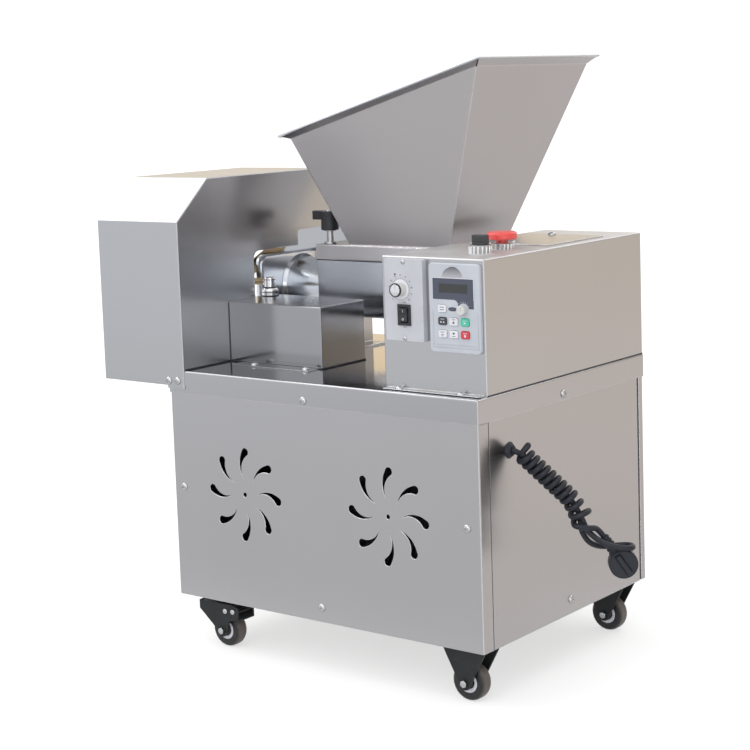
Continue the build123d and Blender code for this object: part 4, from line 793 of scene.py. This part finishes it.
# bright metal on the clamp lever, and painted shade: dark bands where the drive head's grooves lie in shade
leverPlan = {"spot": (-428.0, 245.5), "lid": 554.1, "hubTop": 602.5, "sides": 32,
             "sleeve": [(4.02, 0.0), (8.9, 0.0), (9.3, 0.4), (9.3, 2.6), (8.9, 3.1), (5.2, 3.1), (5.2, 18.6),
                        (8.8, 19.2), (9.0, 19.6), (9.0, 20.3), (4.02, 20.3), (4.02, 0.0)],
             "cap": [(0.0, 0.5), (2.3, 0.5), (2.4, 1.1), (5.6, 1.1), (6.0, 0.6), (6.0, -0.4), (0.0, -0.4)]}


def makeLeverMetal(plan):
    x, y = plan["spot"]
    sleeve = placedTurning("studSleeve", plan["sleeve"], plan["sides"], (x, y, plan["lid"]), upward)
    cap = placedTurning("leverCap", plan["cap"], plan["sides"], (x, y, plan["hubTop"]), upward)
    asObject("leverMetal", joined("leverMetal", [sleeve, cap]), "clamp_lever", finish["zinc"])


grooveShadePlan = {"spot": (-489.0, 176.0), "sides": 40, "sunk": 1.2, "lip": 0.12, "crown": 0.3,
              "levels": ((482.0, 12.1, 1.3), (487.2, 12.08, 1.1), (494.0, 8.9, 1.5), (505.4, 8.35, 1.0))}


def makeGrooveShade(plan):
    rings = []
    for level, radius, height in plan["levels"]:
        inner, lip, crown = radius - plan["sunk"], radius + plan["lip"], radius + plan["crown"]
        ring = [(inner, 0.0), (lip, 0.0), (crown, height / 2), (lip, height), (inner, height), (inner, 0.0)]
        rings.append(placedTurning("groove", ring, plan["sides"], (*plan["spot"], level), upward))
    grooves = joined("driveHeadGrooves", rings)
    asObject("driveHeadGrooves", grooves, "machine", finish["darkSteelAndShade"])


# painted shadow: dark strips standing in for the shade in the gaps under the lid's skirt, round the cover's
# foot, beside the guard, by the side panels
shadowGapPlan = {"front": [{"x": -302.0, "z": 531.6, "wide": 280.6, "high": 1.5, "face": 231.0, "proud": 1.3},
                      {"x": -413.8, "z": 396.0, "wide": 170.4, "high": 1.8, "face": 97.0, "proud": 0.5},
                      {"x": -499.3, "z": 438.5, "wide": 1.0, "high": 84.0, "face": 97.0, "proud": 0.2},
                      {"x": -81.0, "z": 395.5, "wide": 159.0, "high": 0.9, "face": 11.0, "proud": 0.8}],
            "side": [{"y": 145.5, "z": 396.0, "wide": 97.0, "high": 1.8, "face": -328.5, "proud": 0.5},
                     {"y": 49.0, "z": 396.0, "wide": 94.0, "high": 1.8, "face": -500.0, "proud": 0.4},
                     {"y": 24.3, "z": 216.5, "wide": 1.0, "high": 292.0, "face": -1.5, "proud": 0.1},
                     {"y": 217.0, "z": 395.8, "wide": 386.0, "high": 1.6, "face": -1.0, "proud": 0.4},
                     {"y": 396.0, "z": 216.5, "wide": 4.6, "high": 292.0, "face": -2.95, "proud": 0.6}]}


def shadowGapStrip(strip, x):
    outline = rectangle(x, strip["z"], strip["wide"], strip["high"])
    return meshFrom("shadowGap", printedShape([outline], strip["proud"]))


def makeShadowGaps(plan):
    strips = []
    for strip in plan["front"]:
        mesh = shadowGapStrip(strip, strip["x"])
        mesh.transform(Matrix.Translation(at(0.0, strip["face"], 0.0)))
        strips.append(mesh)
    for strip in plan["side"]:
        mesh = shadowGapStrip(strip, 0.0)
        mesh.transform(Matrix.Rotation(math.radians(90.0), 4, "Z"))
        mesh.transform(Matrix.Translation(at(strip["face"], strip["y"], 0.0)))
        strips.append(mesh)
    asObject("darkSeals", joined("darkSeals", strips), "machine", finish["inkDark"])


# rolled bead round the hopper's mouth, and painted shadow: a dark sliver standing in for the shade in the
# open mitre at its front right corner
mouthPlan = {"left": -462.1, "right": -89.7, "middle": 303.0, "leftHalf": 125.7, "rightHalf": 151.0,
             "leftZ": 714.9, "rightZ": 815.5, "bead": 1.9, "inward": 0.7, "steps": 12,
             "mitreStart": (-102.1, 164.4, 804.5), "mitreEnd": (-89.7, 152.0, 815.4), "mitre": 0.9,
             "mitreSunk": 0.5, "mitreTip": 1.0, "mitreTaper": 0.4, "mitreSides": 10}


def beadLoop(name, corners, radius, steps):
    shape = bmesh.new()
    centre = sum(corners, Vector()) / len(corners)
    level = (corners[1] - corners[0]).cross(corners[2] - corners[1]).normalized()
    rings = []
    for index, corner in enumerate(corners):
        before = (corner - corners[index - 1]).normalized()
        after = (corners[(index + 1) % len(corners)] - corner).normalized()
        out = (before - after).normalized()
        if out.dot(corner - centre) < 0.0:
            out = -out
        widen = 1.0 / math.sin(before.angle(-after) / 2)
        ring = []
        for step in range(steps):
            angle = 2.0 * math.pi * step / steps
            sideways = out * radius * widen * math.cos(angle)
            ring.append(shape.verts.new(corner + sideways + level * radius * math.sin(angle)))
        rings.append(ring)
    for index, ring in enumerate(rings):
        following = rings[(index + 1) % len(rings)]
        for step in range(steps):
            nextStep = (step + 1) % steps
            shape.faces.new([ring[step], ring[nextStep], following[nextStep], following[step]])
    return meshFrom(name, shape)


def makeMouth(plan):
    inward = plan["inward"]
    left, right = plan["left"] + inward, plan["right"] - inward
    leftHalf, rightHalf = plan["leftHalf"] - inward, plan["rightHalf"] - inward
    middle, leftZ, rightZ = plan["middle"], plan["leftZ"], plan["rightZ"]
    corners = [at(left, middle - leftHalf, leftZ), at(right, middle - rightHalf, rightZ),
               at(right, middle + rightHalf, rightZ), at(left, middle + leftHalf, leftZ)]
    bead = beadLoop("mouthBead", corners, plan["bead"] * mm, plan["steps"])
    asObject("mouthBead", bead, "machine", finish["rimSteel"], sharp=50.0)
    start, end = at(*plan["mitreStart"]), at(*plan["mitreEnd"])
    reach = (end - start).length / mm
    thick, low, tip = plan["mitre"], -plan["mitreSunk"], reach + plan["mitreTip"]
    mitre = [(0.0, low), (thick, low), (thick, reach), (thick * plan["mitreTaper"], tip), (0.0, tip)]
    split = placedTurning("mouthMitre", mitre, plan["mitreSides"], plan["mitreStart"], end - start)
    asObject("mouthMitre", split, "machine", finish["darkSteelAndShade"])


bezelPlan = {"selector": {"x": -56.0, "y": 96.0, "high": 10.0}, "stop": {"x": -59.0, "y": 150.0, "high": 7.9},
             "low": 567.0, "ribs": 16, "ribRadius": 1.7, "ribShort": 1.4, "ringRadius": 13.9,
             "inner": 13.6, "outer": 14.3, "bevelIn": 0.5, "bevelHigh": 0.7, "sides": 60}


def makeBezelRibs(plan):
    ribs, skirts = [], []
    for place in (plan["selector"], plan["stop"]):
        x, y, high = place["x"], place["y"], place["high"]
        ribHeight = high - plan["ribShort"]
        values = {"Count": plan["ribs"], "Ring Radius": plan["ringRadius"] * mm,
                  "Rib Radius": plan["ribRadius"] * mm, "Rib Height": ribHeight * mm,
                  "Place": at(x, y, plan["low"] + ribHeight / 2), "Finish": finish["chrome"]}
        ribs.append(grown("bezelRibs", bpy.data.meshes.new("bezelStart"), ribsInRing, values))
        inner, outer = plan["inner"], plan["outer"]
        skirt = [(inner, 0.0), (outer, 0.0), (outer, high - plan["bevelHigh"]),
                 (outer - plan["bevelIn"], high), (inner, high), (inner, 0.0)]
        skirts.append(placedTurning("bezelSkirt", skirt, plan["sides"], (x, y, plan["low"]), upward))
    asObject("bezelRibs", joined("bezelRibs", ribs), "machine", finish["chrome"])
    asObject("bezelSkirts", joined("bezelSkirts", skirts), "machine", finish["oiledSteel"])


makeLeverMetal(leverPlan)
makeGrooveShade(grooveShadePlan)
makeBezelRibs(bezelPlan)
makeShadowGaps(shadowGapPlan)
makeMouth(mouthPlan)
# the seals are painted shadow: dark strips where the gaps lie in shade
print("lever, drive head, bezels, shadowGaps and mouth trimmed")


# printed marks and small fittings of the controls
def placedText(words, size, x, y, z, thick=0.06):
    curve = bpy.data.curves.new("mark", "FONT")
    curve.body = words
    curve.size = size * mm
    curve.align_x = "CENTER"
    curve.align_y = "CENTER"
    curve.extrude = thick * mm
    holder = bpy.data.objects.new("mark", curve)
    scene.collection.objects.link(holder)
    mesh = evaluatedMesh(holder, "mark")
    bpy.data.objects.remove(holder)
    mesh.transform(Matrix.Rotation(math.radians(90.0), 4, "X"))
    mesh.transform(Matrix.Translation(at(x, y, z)))
    return mesh


def ellipsePoints(x, z, halfWide, halfHigh, end, steps):
    return [(x + halfWide * u, z + halfHigh * v) for u, v in arcPoints(0.0, 0.0, 1.0, 0.0, end, steps)]


dialPlan = {
    "x": -125.0, "z": 525.5, "face": 15.0, "plate": 12.6, "plateProud": 0.15, "first": 225.0, "last": -45.0,
    "ticks": 21, "tickIn": 13.4, "tickOut": 15.2, "tickWide": 0.4, "tickProud": 0.12,
    "numbers": 11, "numberRadius": 18.0, "numberSize": 2.6, "numberStep": 10,
    "lamp": (-133.4, 544.5), "lampShape": [(0.0, 0.9), (0.8, 0.7), (1.15, 0.2), (1.3, -0.3), (0.0, -0.3)],
    "ring": [(7.6, -0.3), (9.1, -1.6), (9.1, -0.2), (8.6, 0.5), (7.6, 0.5), (7.6, -0.3)],
    "cap": [(0.0, 0.55), (5.5, 0.5), (7.2, 0.3), (7.6, -0.1), (0.0, -0.1)], "knobFace": 3.0,
    "plateSteps": 48, "lampSides": 20, "knobSides": 40,
    "frame": {"left": -149.2, "right": -90.8, "low": 460.3, "high": 563.7, "line": 0.35, "proud": 0.1},
}


def dialAngles(plan, count):
    return [plan["first"] + (plan["last"] - plan["first"]) * i / (count - 1) for i in range(count)]


def makeDial(plan):
    x, z, face = plan["x"], plan["z"], plan["face"]
    disc = arcPoints(x, z, plan["plate"], 0.0, 360.0, plan["plateSteps"])[:-1]
    onFront("dialDisc", [disc], face, "machine", finish["inkWhite"], plan["plateProud"])
    angles = dialAngles(plan, plan["ticks"])
    lines = spokes(x, z, plan["tickIn"], plan["tickOut"], angles, plan["tickWide"])
    ticks = meshFrom("dialTicks", printedShape(lines, plan["tickProud"]))
    ticks.transform(Matrix.Translation(at(0.0, face, 0.0)))
    marks = [ticks]
    for index, degrees in enumerate(dialAngles(plan, plan["numbers"])):
        angle = math.radians(degrees)
        spotX = x + plan["numberRadius"] * math.cos(angle)
        spotZ = z + plan["numberRadius"] * math.sin(angle)
        number = str(index * plan["numberStep"])
        marks.append(placedText(number, plan["numberSize"], spotX, face, spotZ))
    lampX, lampZ = plan["lamp"]
    lampSpot = (lampX, face, lampZ)
    marks.append(placedTurning("panelLamp", plan["lampShape"], plan["lampSides"], lampSpot, toFront))
    asObject("dialMarks", joined("dialMarks", marks), "machine", finish["inkDark"])
    spot = (x, plan["knobFace"], z)
    ring = placedTurning("knobRing", plan["ring"], plan["knobSides"], spot, toFront)
    asObject("knobRing", ring, "speed_knob", finish["darkSteelAndShade"])
    cap = placedTurning("knobCap", plan["cap"], plan["knobSides"], spot, toFront)
    asObject("knobCap", cap, "speed_knob", finish["chrome"])
    edge = plan["frame"]
    line = edge["line"]
    middleX, wide = (edge["left"] + edge["right"]) / 2, edge["right"] - edge["left"]
    middleZ, tall = (edge["low"] + edge["high"]) / 2, edge["high"] - edge["low"]
    border = [rectangle(middleX, edge["low"], wide, line), rectangle(middleX, edge["high"], wide, line),
              rectangle(edge["left"], middleZ, line, tall), rectangle(edge["right"], middleZ, line, tall)]
    onFront("panelBorder", border, face, "machine", finish["inkWhite"], edge["proud"])


rockerPlan = {"x": -119.7, "z": 493.0, "face": 10.83, "away": 5.2, "tilt": 11.3, "proud": 0.12,
              "stroke": (0.7, 3.4), "ringOuter": 1.6, "ringInner": 1.0, "ringSteps": 20,
              "wordFace": 15.0, "wordSize": 3.0, "wordAway": 15.7}


def makeRockerMarks(plan):
    x, z, steps = plan["x"], plan["z"], plan["ringSteps"]
    ring = arcPoints(0.0, 0.0, plan["ringOuter"], 0.0, 360.0, steps)
    hole = arcPoints(0.0, 0.0, plan["ringInner"], 0.0, 360.0, steps)
    circle = [[ring[i], ring[i + 1], hole[i + 1], hole[i]] for i in range(steps)]
    stroke = [rectangle(0.0, 0.0, *plan["stroke"])]
    marks, words = [], []
    for outlines, word, side in ((stroke, "ON", 1.0), (circle, "OFF", -1.0)):
        mark = meshFrom("rockerMark", printedShape(outlines, plan["proud"]))
        mark.transform(Matrix.Rotation(math.radians(plan["tilt"]) * side, 4, "X"))
        mark.transform(Matrix.Translation(at(x, plan["face"], z + side * plan["away"])))
        marks.append(mark)
        words.append(placedText(word, plan["wordSize"], x, plan["wordFace"], z + side * plan["wordAway"]))
    asObject("rockerMarks", joined("rockerMarks", marks), "rocker", finish["inkWhite"])
    asObject("switchWords", joined("switchWords", words), "machine", finish["inkDark"])


# each mark is measured from its key's middle: bars as place and size, arrows as place, size and way
keyPlan = {
    "columns": (-62.2, -45.0, -27.8), "rows": (504.0, 488.0, 472.0),
    "face": 16.6, "proud": 0.1, "arrowRise": 0.8,
    "marks": {
        "key_program": {"cell": (0, 0), "ink": "inkDark",
                        "bars": [(0.0, 1.6, 6.5, 0.7), (0.0, -1.6, 6.5, 0.7)]},
        "key_up": {"cell": (1, 1), "ink": "inkDark", "arrows": [(0.0, -0.7, 1.9, 1.0)],
                   "bars": [(0.0, 2.6, 5.0, 0.6)]},
        "key_down": {"cell": (1, 2), "ink": "inkDark", "arrows": [(0.0, 0.7, 1.9, -1.0)],
                     "bars": [(0.0, -2.6, 5.0, 0.6)]},
        "key_shift": {"cell": (0, 1), "ink": "inkWhite",
                      "arrows": [(-2.1, -0.8, 1.5, 1.0), (2.1, -0.8, 1.5, 1.0)],
                      "bars": [(0.0, 2.6, 6.0, 0.6)]},
        "key_enter": {"cell": (0, 2), "ink": "inkDark",
                      "bars": [(0.0, 2.2, 6.2, 0.6), (0.0, -0.6, 4.2, 0.6), (0.0, -2.6, 3.0, 0.6)]},
        "key_run": {"cell": (2, 1), "ink": "inkWhite", "bars": [(0.0, 2.0, 6.0, 0.7)],
                    "outlines": [[(-1.4, -2.8), (1.9, -1.1), (-1.4, 0.6)]]},
        "key_stop": {"cell": (2, 2), "ink": "inkWhite",
                     "bars": [(0.0, 2.0, 6.0, 0.7), (0.0, -1.2, 2.9, 2.9)]},
    },
}


def arrow(x, z, size, way, rise):  # way is 1.0 for up and -1.0 for down
    tip = size * rise * way
    corners = [(x - size, z - tip), (x + size, z - tip), (x, z + tip)]
    return corners if way > 0.0 else corners[::-1]


def makeKeyMarks(plan):
    for key, mark in plan["marks"].items():
        column, row = mark["cell"]
        x, z = plan["columns"][column], plan["rows"][row]
        outlines = []
        for aside, above, size, way in mark.get("arrows", []):
            outlines.append(arrow(x + aside, z + above, size, way, plan["arrowRise"]))
        for aside, above, wide, high in mark["bars"]:
            outlines.append(rectangle(x + aside, z + above, wide, high))
        for outline in mark.get("outlines", []):
            outlines.append([(x + aside, z + above) for aside, above in outline])
        name = "mark" + key.title().replace("_", "")
        onFront(name, outlines, plan["face"], key, finish[mark["ink"]], plan["proud"])


inverterPlan = {
    "face": 18.0, "windowFace": 17.8, "knob": (-29.9, 503.6), "display": (-45.2, 529.8, 43.3, 11.5),
    "glassProud": 0.15, "lineProud": 0.1, "printProud": 0.12,
    "window": {"left": -76.3, "right": -14.3, "low": 515.6, "high": 542.1, "line": 0.8},
    "skirt": {"aside": 15.0, "bend": 7.0, "round": 8.2, "end": 1.4, "proud": 0.2},
    "ticks": {"inner": 8.8, "outer": 10.6, "wide": 0.4, "first": 150.0, "step": 20.0, "count": 7},
    "oval": {"x": -46.4, "z": 503.6, "halfWide": 7.0, "halfHigh": 2.7, "steps": 32},
    "scoop": {"x": -46.1, "halfWide": 15.5, "steps": 28},
    "bead": {"left": -77.0, "right": -8.5, "low": 455.0, "high": 500.0, "line": 0.8, "proud": 0.45,
             "inside": 3.6, "shorter": 7.0, "insideLine": 0.7},
}


def makeInverterTrim(plan):
    face = plan["face"]
    knobX, knobZ = plan["knob"]
    pane, skirt = plan["window"], plan["skirt"]
    left, right, low, high = pane["left"], pane["right"], pane["low"], pane["high"]
    bendX, bend = knobX - skirt["aside"], skirt["bend"]
    below = [(right, low), (bendX, low)] + arcPoints(bendX, low - bend, bend, 90.0, 20.0, 6)
    below += arcPoints(knobX, knobZ, skirt["round"], 160.0, 10.0, 14) + [(right, knobZ + skirt["end"])]
    onFront("windowSkirt", [below], face, "machine", finish["window"], skirt["proud"])
    onFront("displayGlass", [rectangle(*plan["display"])], plan["windowFace"], "machine",
            finish["display"], plan["glassProud"])
    ticks, line = plan["ticks"], pane["line"]
    angles = [ticks["first"] - ticks["step"] * i for i in range(ticks["count"])]
    white = spokes(knobX, knobZ, ticks["inner"], ticks["outer"], angles, ticks["wide"])
    white += [rectangle((left + right) / 2, high + line / 2, right - left + 2 * line, line),
              rectangle(right + line / 2, (low + high) / 2, line, high - low)]
    lineFace = face - skirt["proud"]
    onFront("inverterLines", white, lineFace, "machine", finish["inkWhite"], plan["lineProud"])
    scoop, oval, printProud = plan["scoop"], plan["oval"], plan["printProud"]
    foot, crown = scoopSpan
    # painted shade: a flat half-oval, darker towards the top, stands in for the thumb scoop's hollow
    hollow = ellipsePoints(scoop["x"], foot, scoop["halfWide"], crown - foot, 180.0, scoop["steps"])
    onFront("thumbScoop", [hollow], face, "machine", finish["scoop"], printProud)
    blank = ellipsePoints(oval["x"], oval["z"], oval["halfWide"], oval["halfHigh"], 360.0, oval["steps"])[:-1]
    onFront("blankOval", [blank], face, "machine", finish["window"], printProud)
    bead = plan["bead"]
    line = bead["line"]
    middle, wide = (bead["left"] + bead["right"]) / 2, bead["right"] - bead["left"]
    level, tall = (bead["low"] + bead["high"]) / 2, bead["high"] - bead["low"]
    beads = [rectangle(middle, bead["low"], wide, line),
             rectangle(middle, bead["low"] + bead["inside"], wide - bead["shorter"], bead["insideLine"]),
             rectangle(bead["right"], level, line, tall), rectangle(bead["left"], level, line, tall)]
    onFront("inverterBead", beads, face, "machine", finish["inverter"], bead["proud"])


makeDial(dialPlan)
makeRockerMarks(rockerPlan)
makeKeyMarks(keyPlan)
makeInverterTrim(inverterPlan)
print("control marks made")


# floor that keeps the shadow and fades out around the footprint
floorPlan = {"radius": 3.0, "sides": 96, "halfFootprint": (0.33, 0.23, 0.0),
             "fadeStart": 0.03, "fadeEnd": 0.3, "hold": 0.5, "tone": (0.9, 0.9, 0.9)}


def makeFloor(plan):
    shape = bmesh.new()
    bmesh.ops.create_circle(shape, cap_ends=True, segments=plan["sides"], radius=plan["radius"])
    floor = bpy.data.objects.new("floor", meshFrom("floor", shape))
    material, tree, shader = newMaterial("paleFloor", Roughness=0.9, Specular_IOR_Level=0.1)
    shader.inputs["Base Color"].default_value = (*plan["tone"], 1.0)
    coords = addNode(tree, "ShaderNodeTexCoord")
    reach = addNode(tree, "ShaderNodeVectorMath", operation="ABSOLUTE")
    beyond = addNode(tree, "ShaderNodeVectorMath", {1: plan["halfFootprint"]}, operation="SUBTRACT")
    outside = addNode(tree, "ShaderNodeVectorMath", {1: (0.0, 0.0, 0.0)}, operation="MAXIMUM")
    distance = addNode(tree, "ShaderNodeVectorMath", operation="LENGTH")
    limits = {"From Min": plan["fadeStart"], "From Max": plan["fadeEnd"],
              "To Min": plan["hold"], "To Max": 0.0}
    fade = addNode(tree, "ShaderNodeMapRange", limits, interpolation_type="SMOOTHSTEP")
    wire(tree, (coords, "Object", reach, 0), (reach, "Vector", beyond, 0), (beyond, "Vector", outside, 0),
         (outside, "Vector", distance, 0), (distance, "Value", fade, "Value"),
         (fade, "Result", shader, "Alpha"))
    floor.data.materials.append(material)
    scene.collection.objects.link(floor)


# the room: a level of grey by height, warm to the back right, a white sweep with a tan band over it behind
roomPlan = {
    "front": [(-1.0, (0.58, 0.58, 0.58)), (-0.34, (0.6, 0.6, 0.605)), (-0.2, (0.63, 0.63, 0.64)),
              (-0.12, (0.76, 0.78, 0.82)), (0.05, (0.78, 0.8, 0.83)), (0.3, (0.82, 0.82, 0.83)),
              (0.56, (1.0, 1.0, 1.0)), (1.0, (1.0, 1.0, 1.0))],
    "strength": 1.2,
    "backRight": [(-1.0, (0.56, 0.56, 0.56)), (-0.3, (0.63, 0.6, 0.58)), (-0.2, (0.8, 0.73, 0.7)),
                  (-0.12, (0.74, 0.66, 0.57)), (0.05, (0.72, 0.63, 0.52)), (0.25, (0.6, 0.56, 0.52)),
                  (0.42, (0.3, 0.29, 0.3)), (0.6, (0.4, 0.4, 0.42)),
                  (0.8, (1.0, 1.0, 1.0)), (1.0, (1.0, 1.0, 1.0))],
    "behind": [(-1.0, (1.0, 1.0, 1.0)), (0.05, (1.0, 1.0, 1.0)), (0.09, (0.98, 0.87, 0.72)),
               (0.17, (0.82, 0.63, 0.38)), (0.26, (0.8, 0.7, 0.58)), (0.45, (0.95, 0.94, 0.92)),
               (0.6, (1.0, 1.0, 1.0)), (1.0, (1.0, 1.0, 1.0))],
    "backRightWay": (0.53, 0.84, 0.0), "backRightReach": (0.2, 0.65),
    "behindWay": (-0.61, 0.78, 0.0), "behindReach": (0.72, 0.84),
}


def makeWorld(plan):
    world = bpy.data.worlds.new("studioRoom")
    scene.world = world
    world.use_nodes = True
    tree = world.node_tree
    background = tree.nodes["Background"]
    level = spread(tree, axes(tree, "Generated")["Z"], 0.0, 1.0, fromLow=-1.0, fromHigh=1.0)

    def ramp(stops):
        node = addNode(tree, "ShaderNodeValToRGB")
        elements = node.color_ramp.elements
        for position, colour in stops[1:-1]:
            elements.new((position + 1.0) / 2).color = (*colour, 1.0)
        elements[0].position, elements[0].color = 0.0, (*stops[0][1], 1.0)
        elements[-1].position, elements[-1].color = 1.0, (*stops[-1][1], 1.0)
        tree.links.new(level, node.inputs["Fac"])
        return node.outputs["Color"]

    def toward(way, reach):
        coords = addNode(tree, "ShaderNodeTexCoord")
        dot = addNode(tree, "ShaderNodeVectorMath", {1: Vector(way).normalized()}, operation="DOT_PRODUCT")
        limits = {"From Min": reach[0], "From Max": reach[1]}
        node = addNode(tree, "ShaderNodeMapRange", limits, interpolation_type="SMOOTHSTEP")
        wire(tree, (coords, "Generated", dot, 0), (dot, "Value", node, "Value"))
        return node.outputs["Result"]

    warm = toward(plan["backRightWay"], plan["backRightReach"])
    room = blendColour(tree, warm, ramp(plan["front"]), ramp(plan["backRight"]))
    sweep = toward(plan["behindWay"], plan["behindReach"])
    room = blendColour(tree, sweep, room, ramp(plan["behind"]))
    tree.links.new(room, background.inputs["Color"])
    background.inputs["Strength"].default_value = plan["strength"]


softBoxes = {
    "topLeftBox": {"from": (-1.7, -0.5, 2.6), "to": (0.0, 0.0, 0.5), "size": (1.9, 1.9), "power": 20.0},
    "frontBox": {"from": (0.6, -2.6, 1.9), "to": (0.0, 0.0, 0.4), "size": (1.4, 1.4), "power": 10.0},
    "foldStrip": {"from": (2.6, -2.05, -0.25), "to": (0.33, -0.23, 0.25), "size": (1.2, 2.2), "power": 8.5},
    "backBox": {"from": (0.6, 2.1, 2.1), "to": (0.3, 0.0, 0.5), "size": (2.0, 1.0), "power": 9.0},
}


def makeLights(plan):
    for name, box in plan.items():
        data = bpy.data.lights.new(name, "AREA")
        data.shape = "RECTANGLE"
        data.energy = box["power"]
        data.size, data.size_y = box["size"]
        lamp = bpy.data.objects.new(name, data)
        lamp.location = box["from"]
        lamp.rotation_euler = (Vector(box["to"]) - Vector(box["from"])).to_track_quat("-Z", "Y").to_euler()
        scene.collection.objects.link(lamp)


makeFloor(floorPlan)
makeWorld(roomPlan)
makeLights(softBoxes)
scene.view_settings.view_transform = "Standard"
print("floor, room and lamps set")
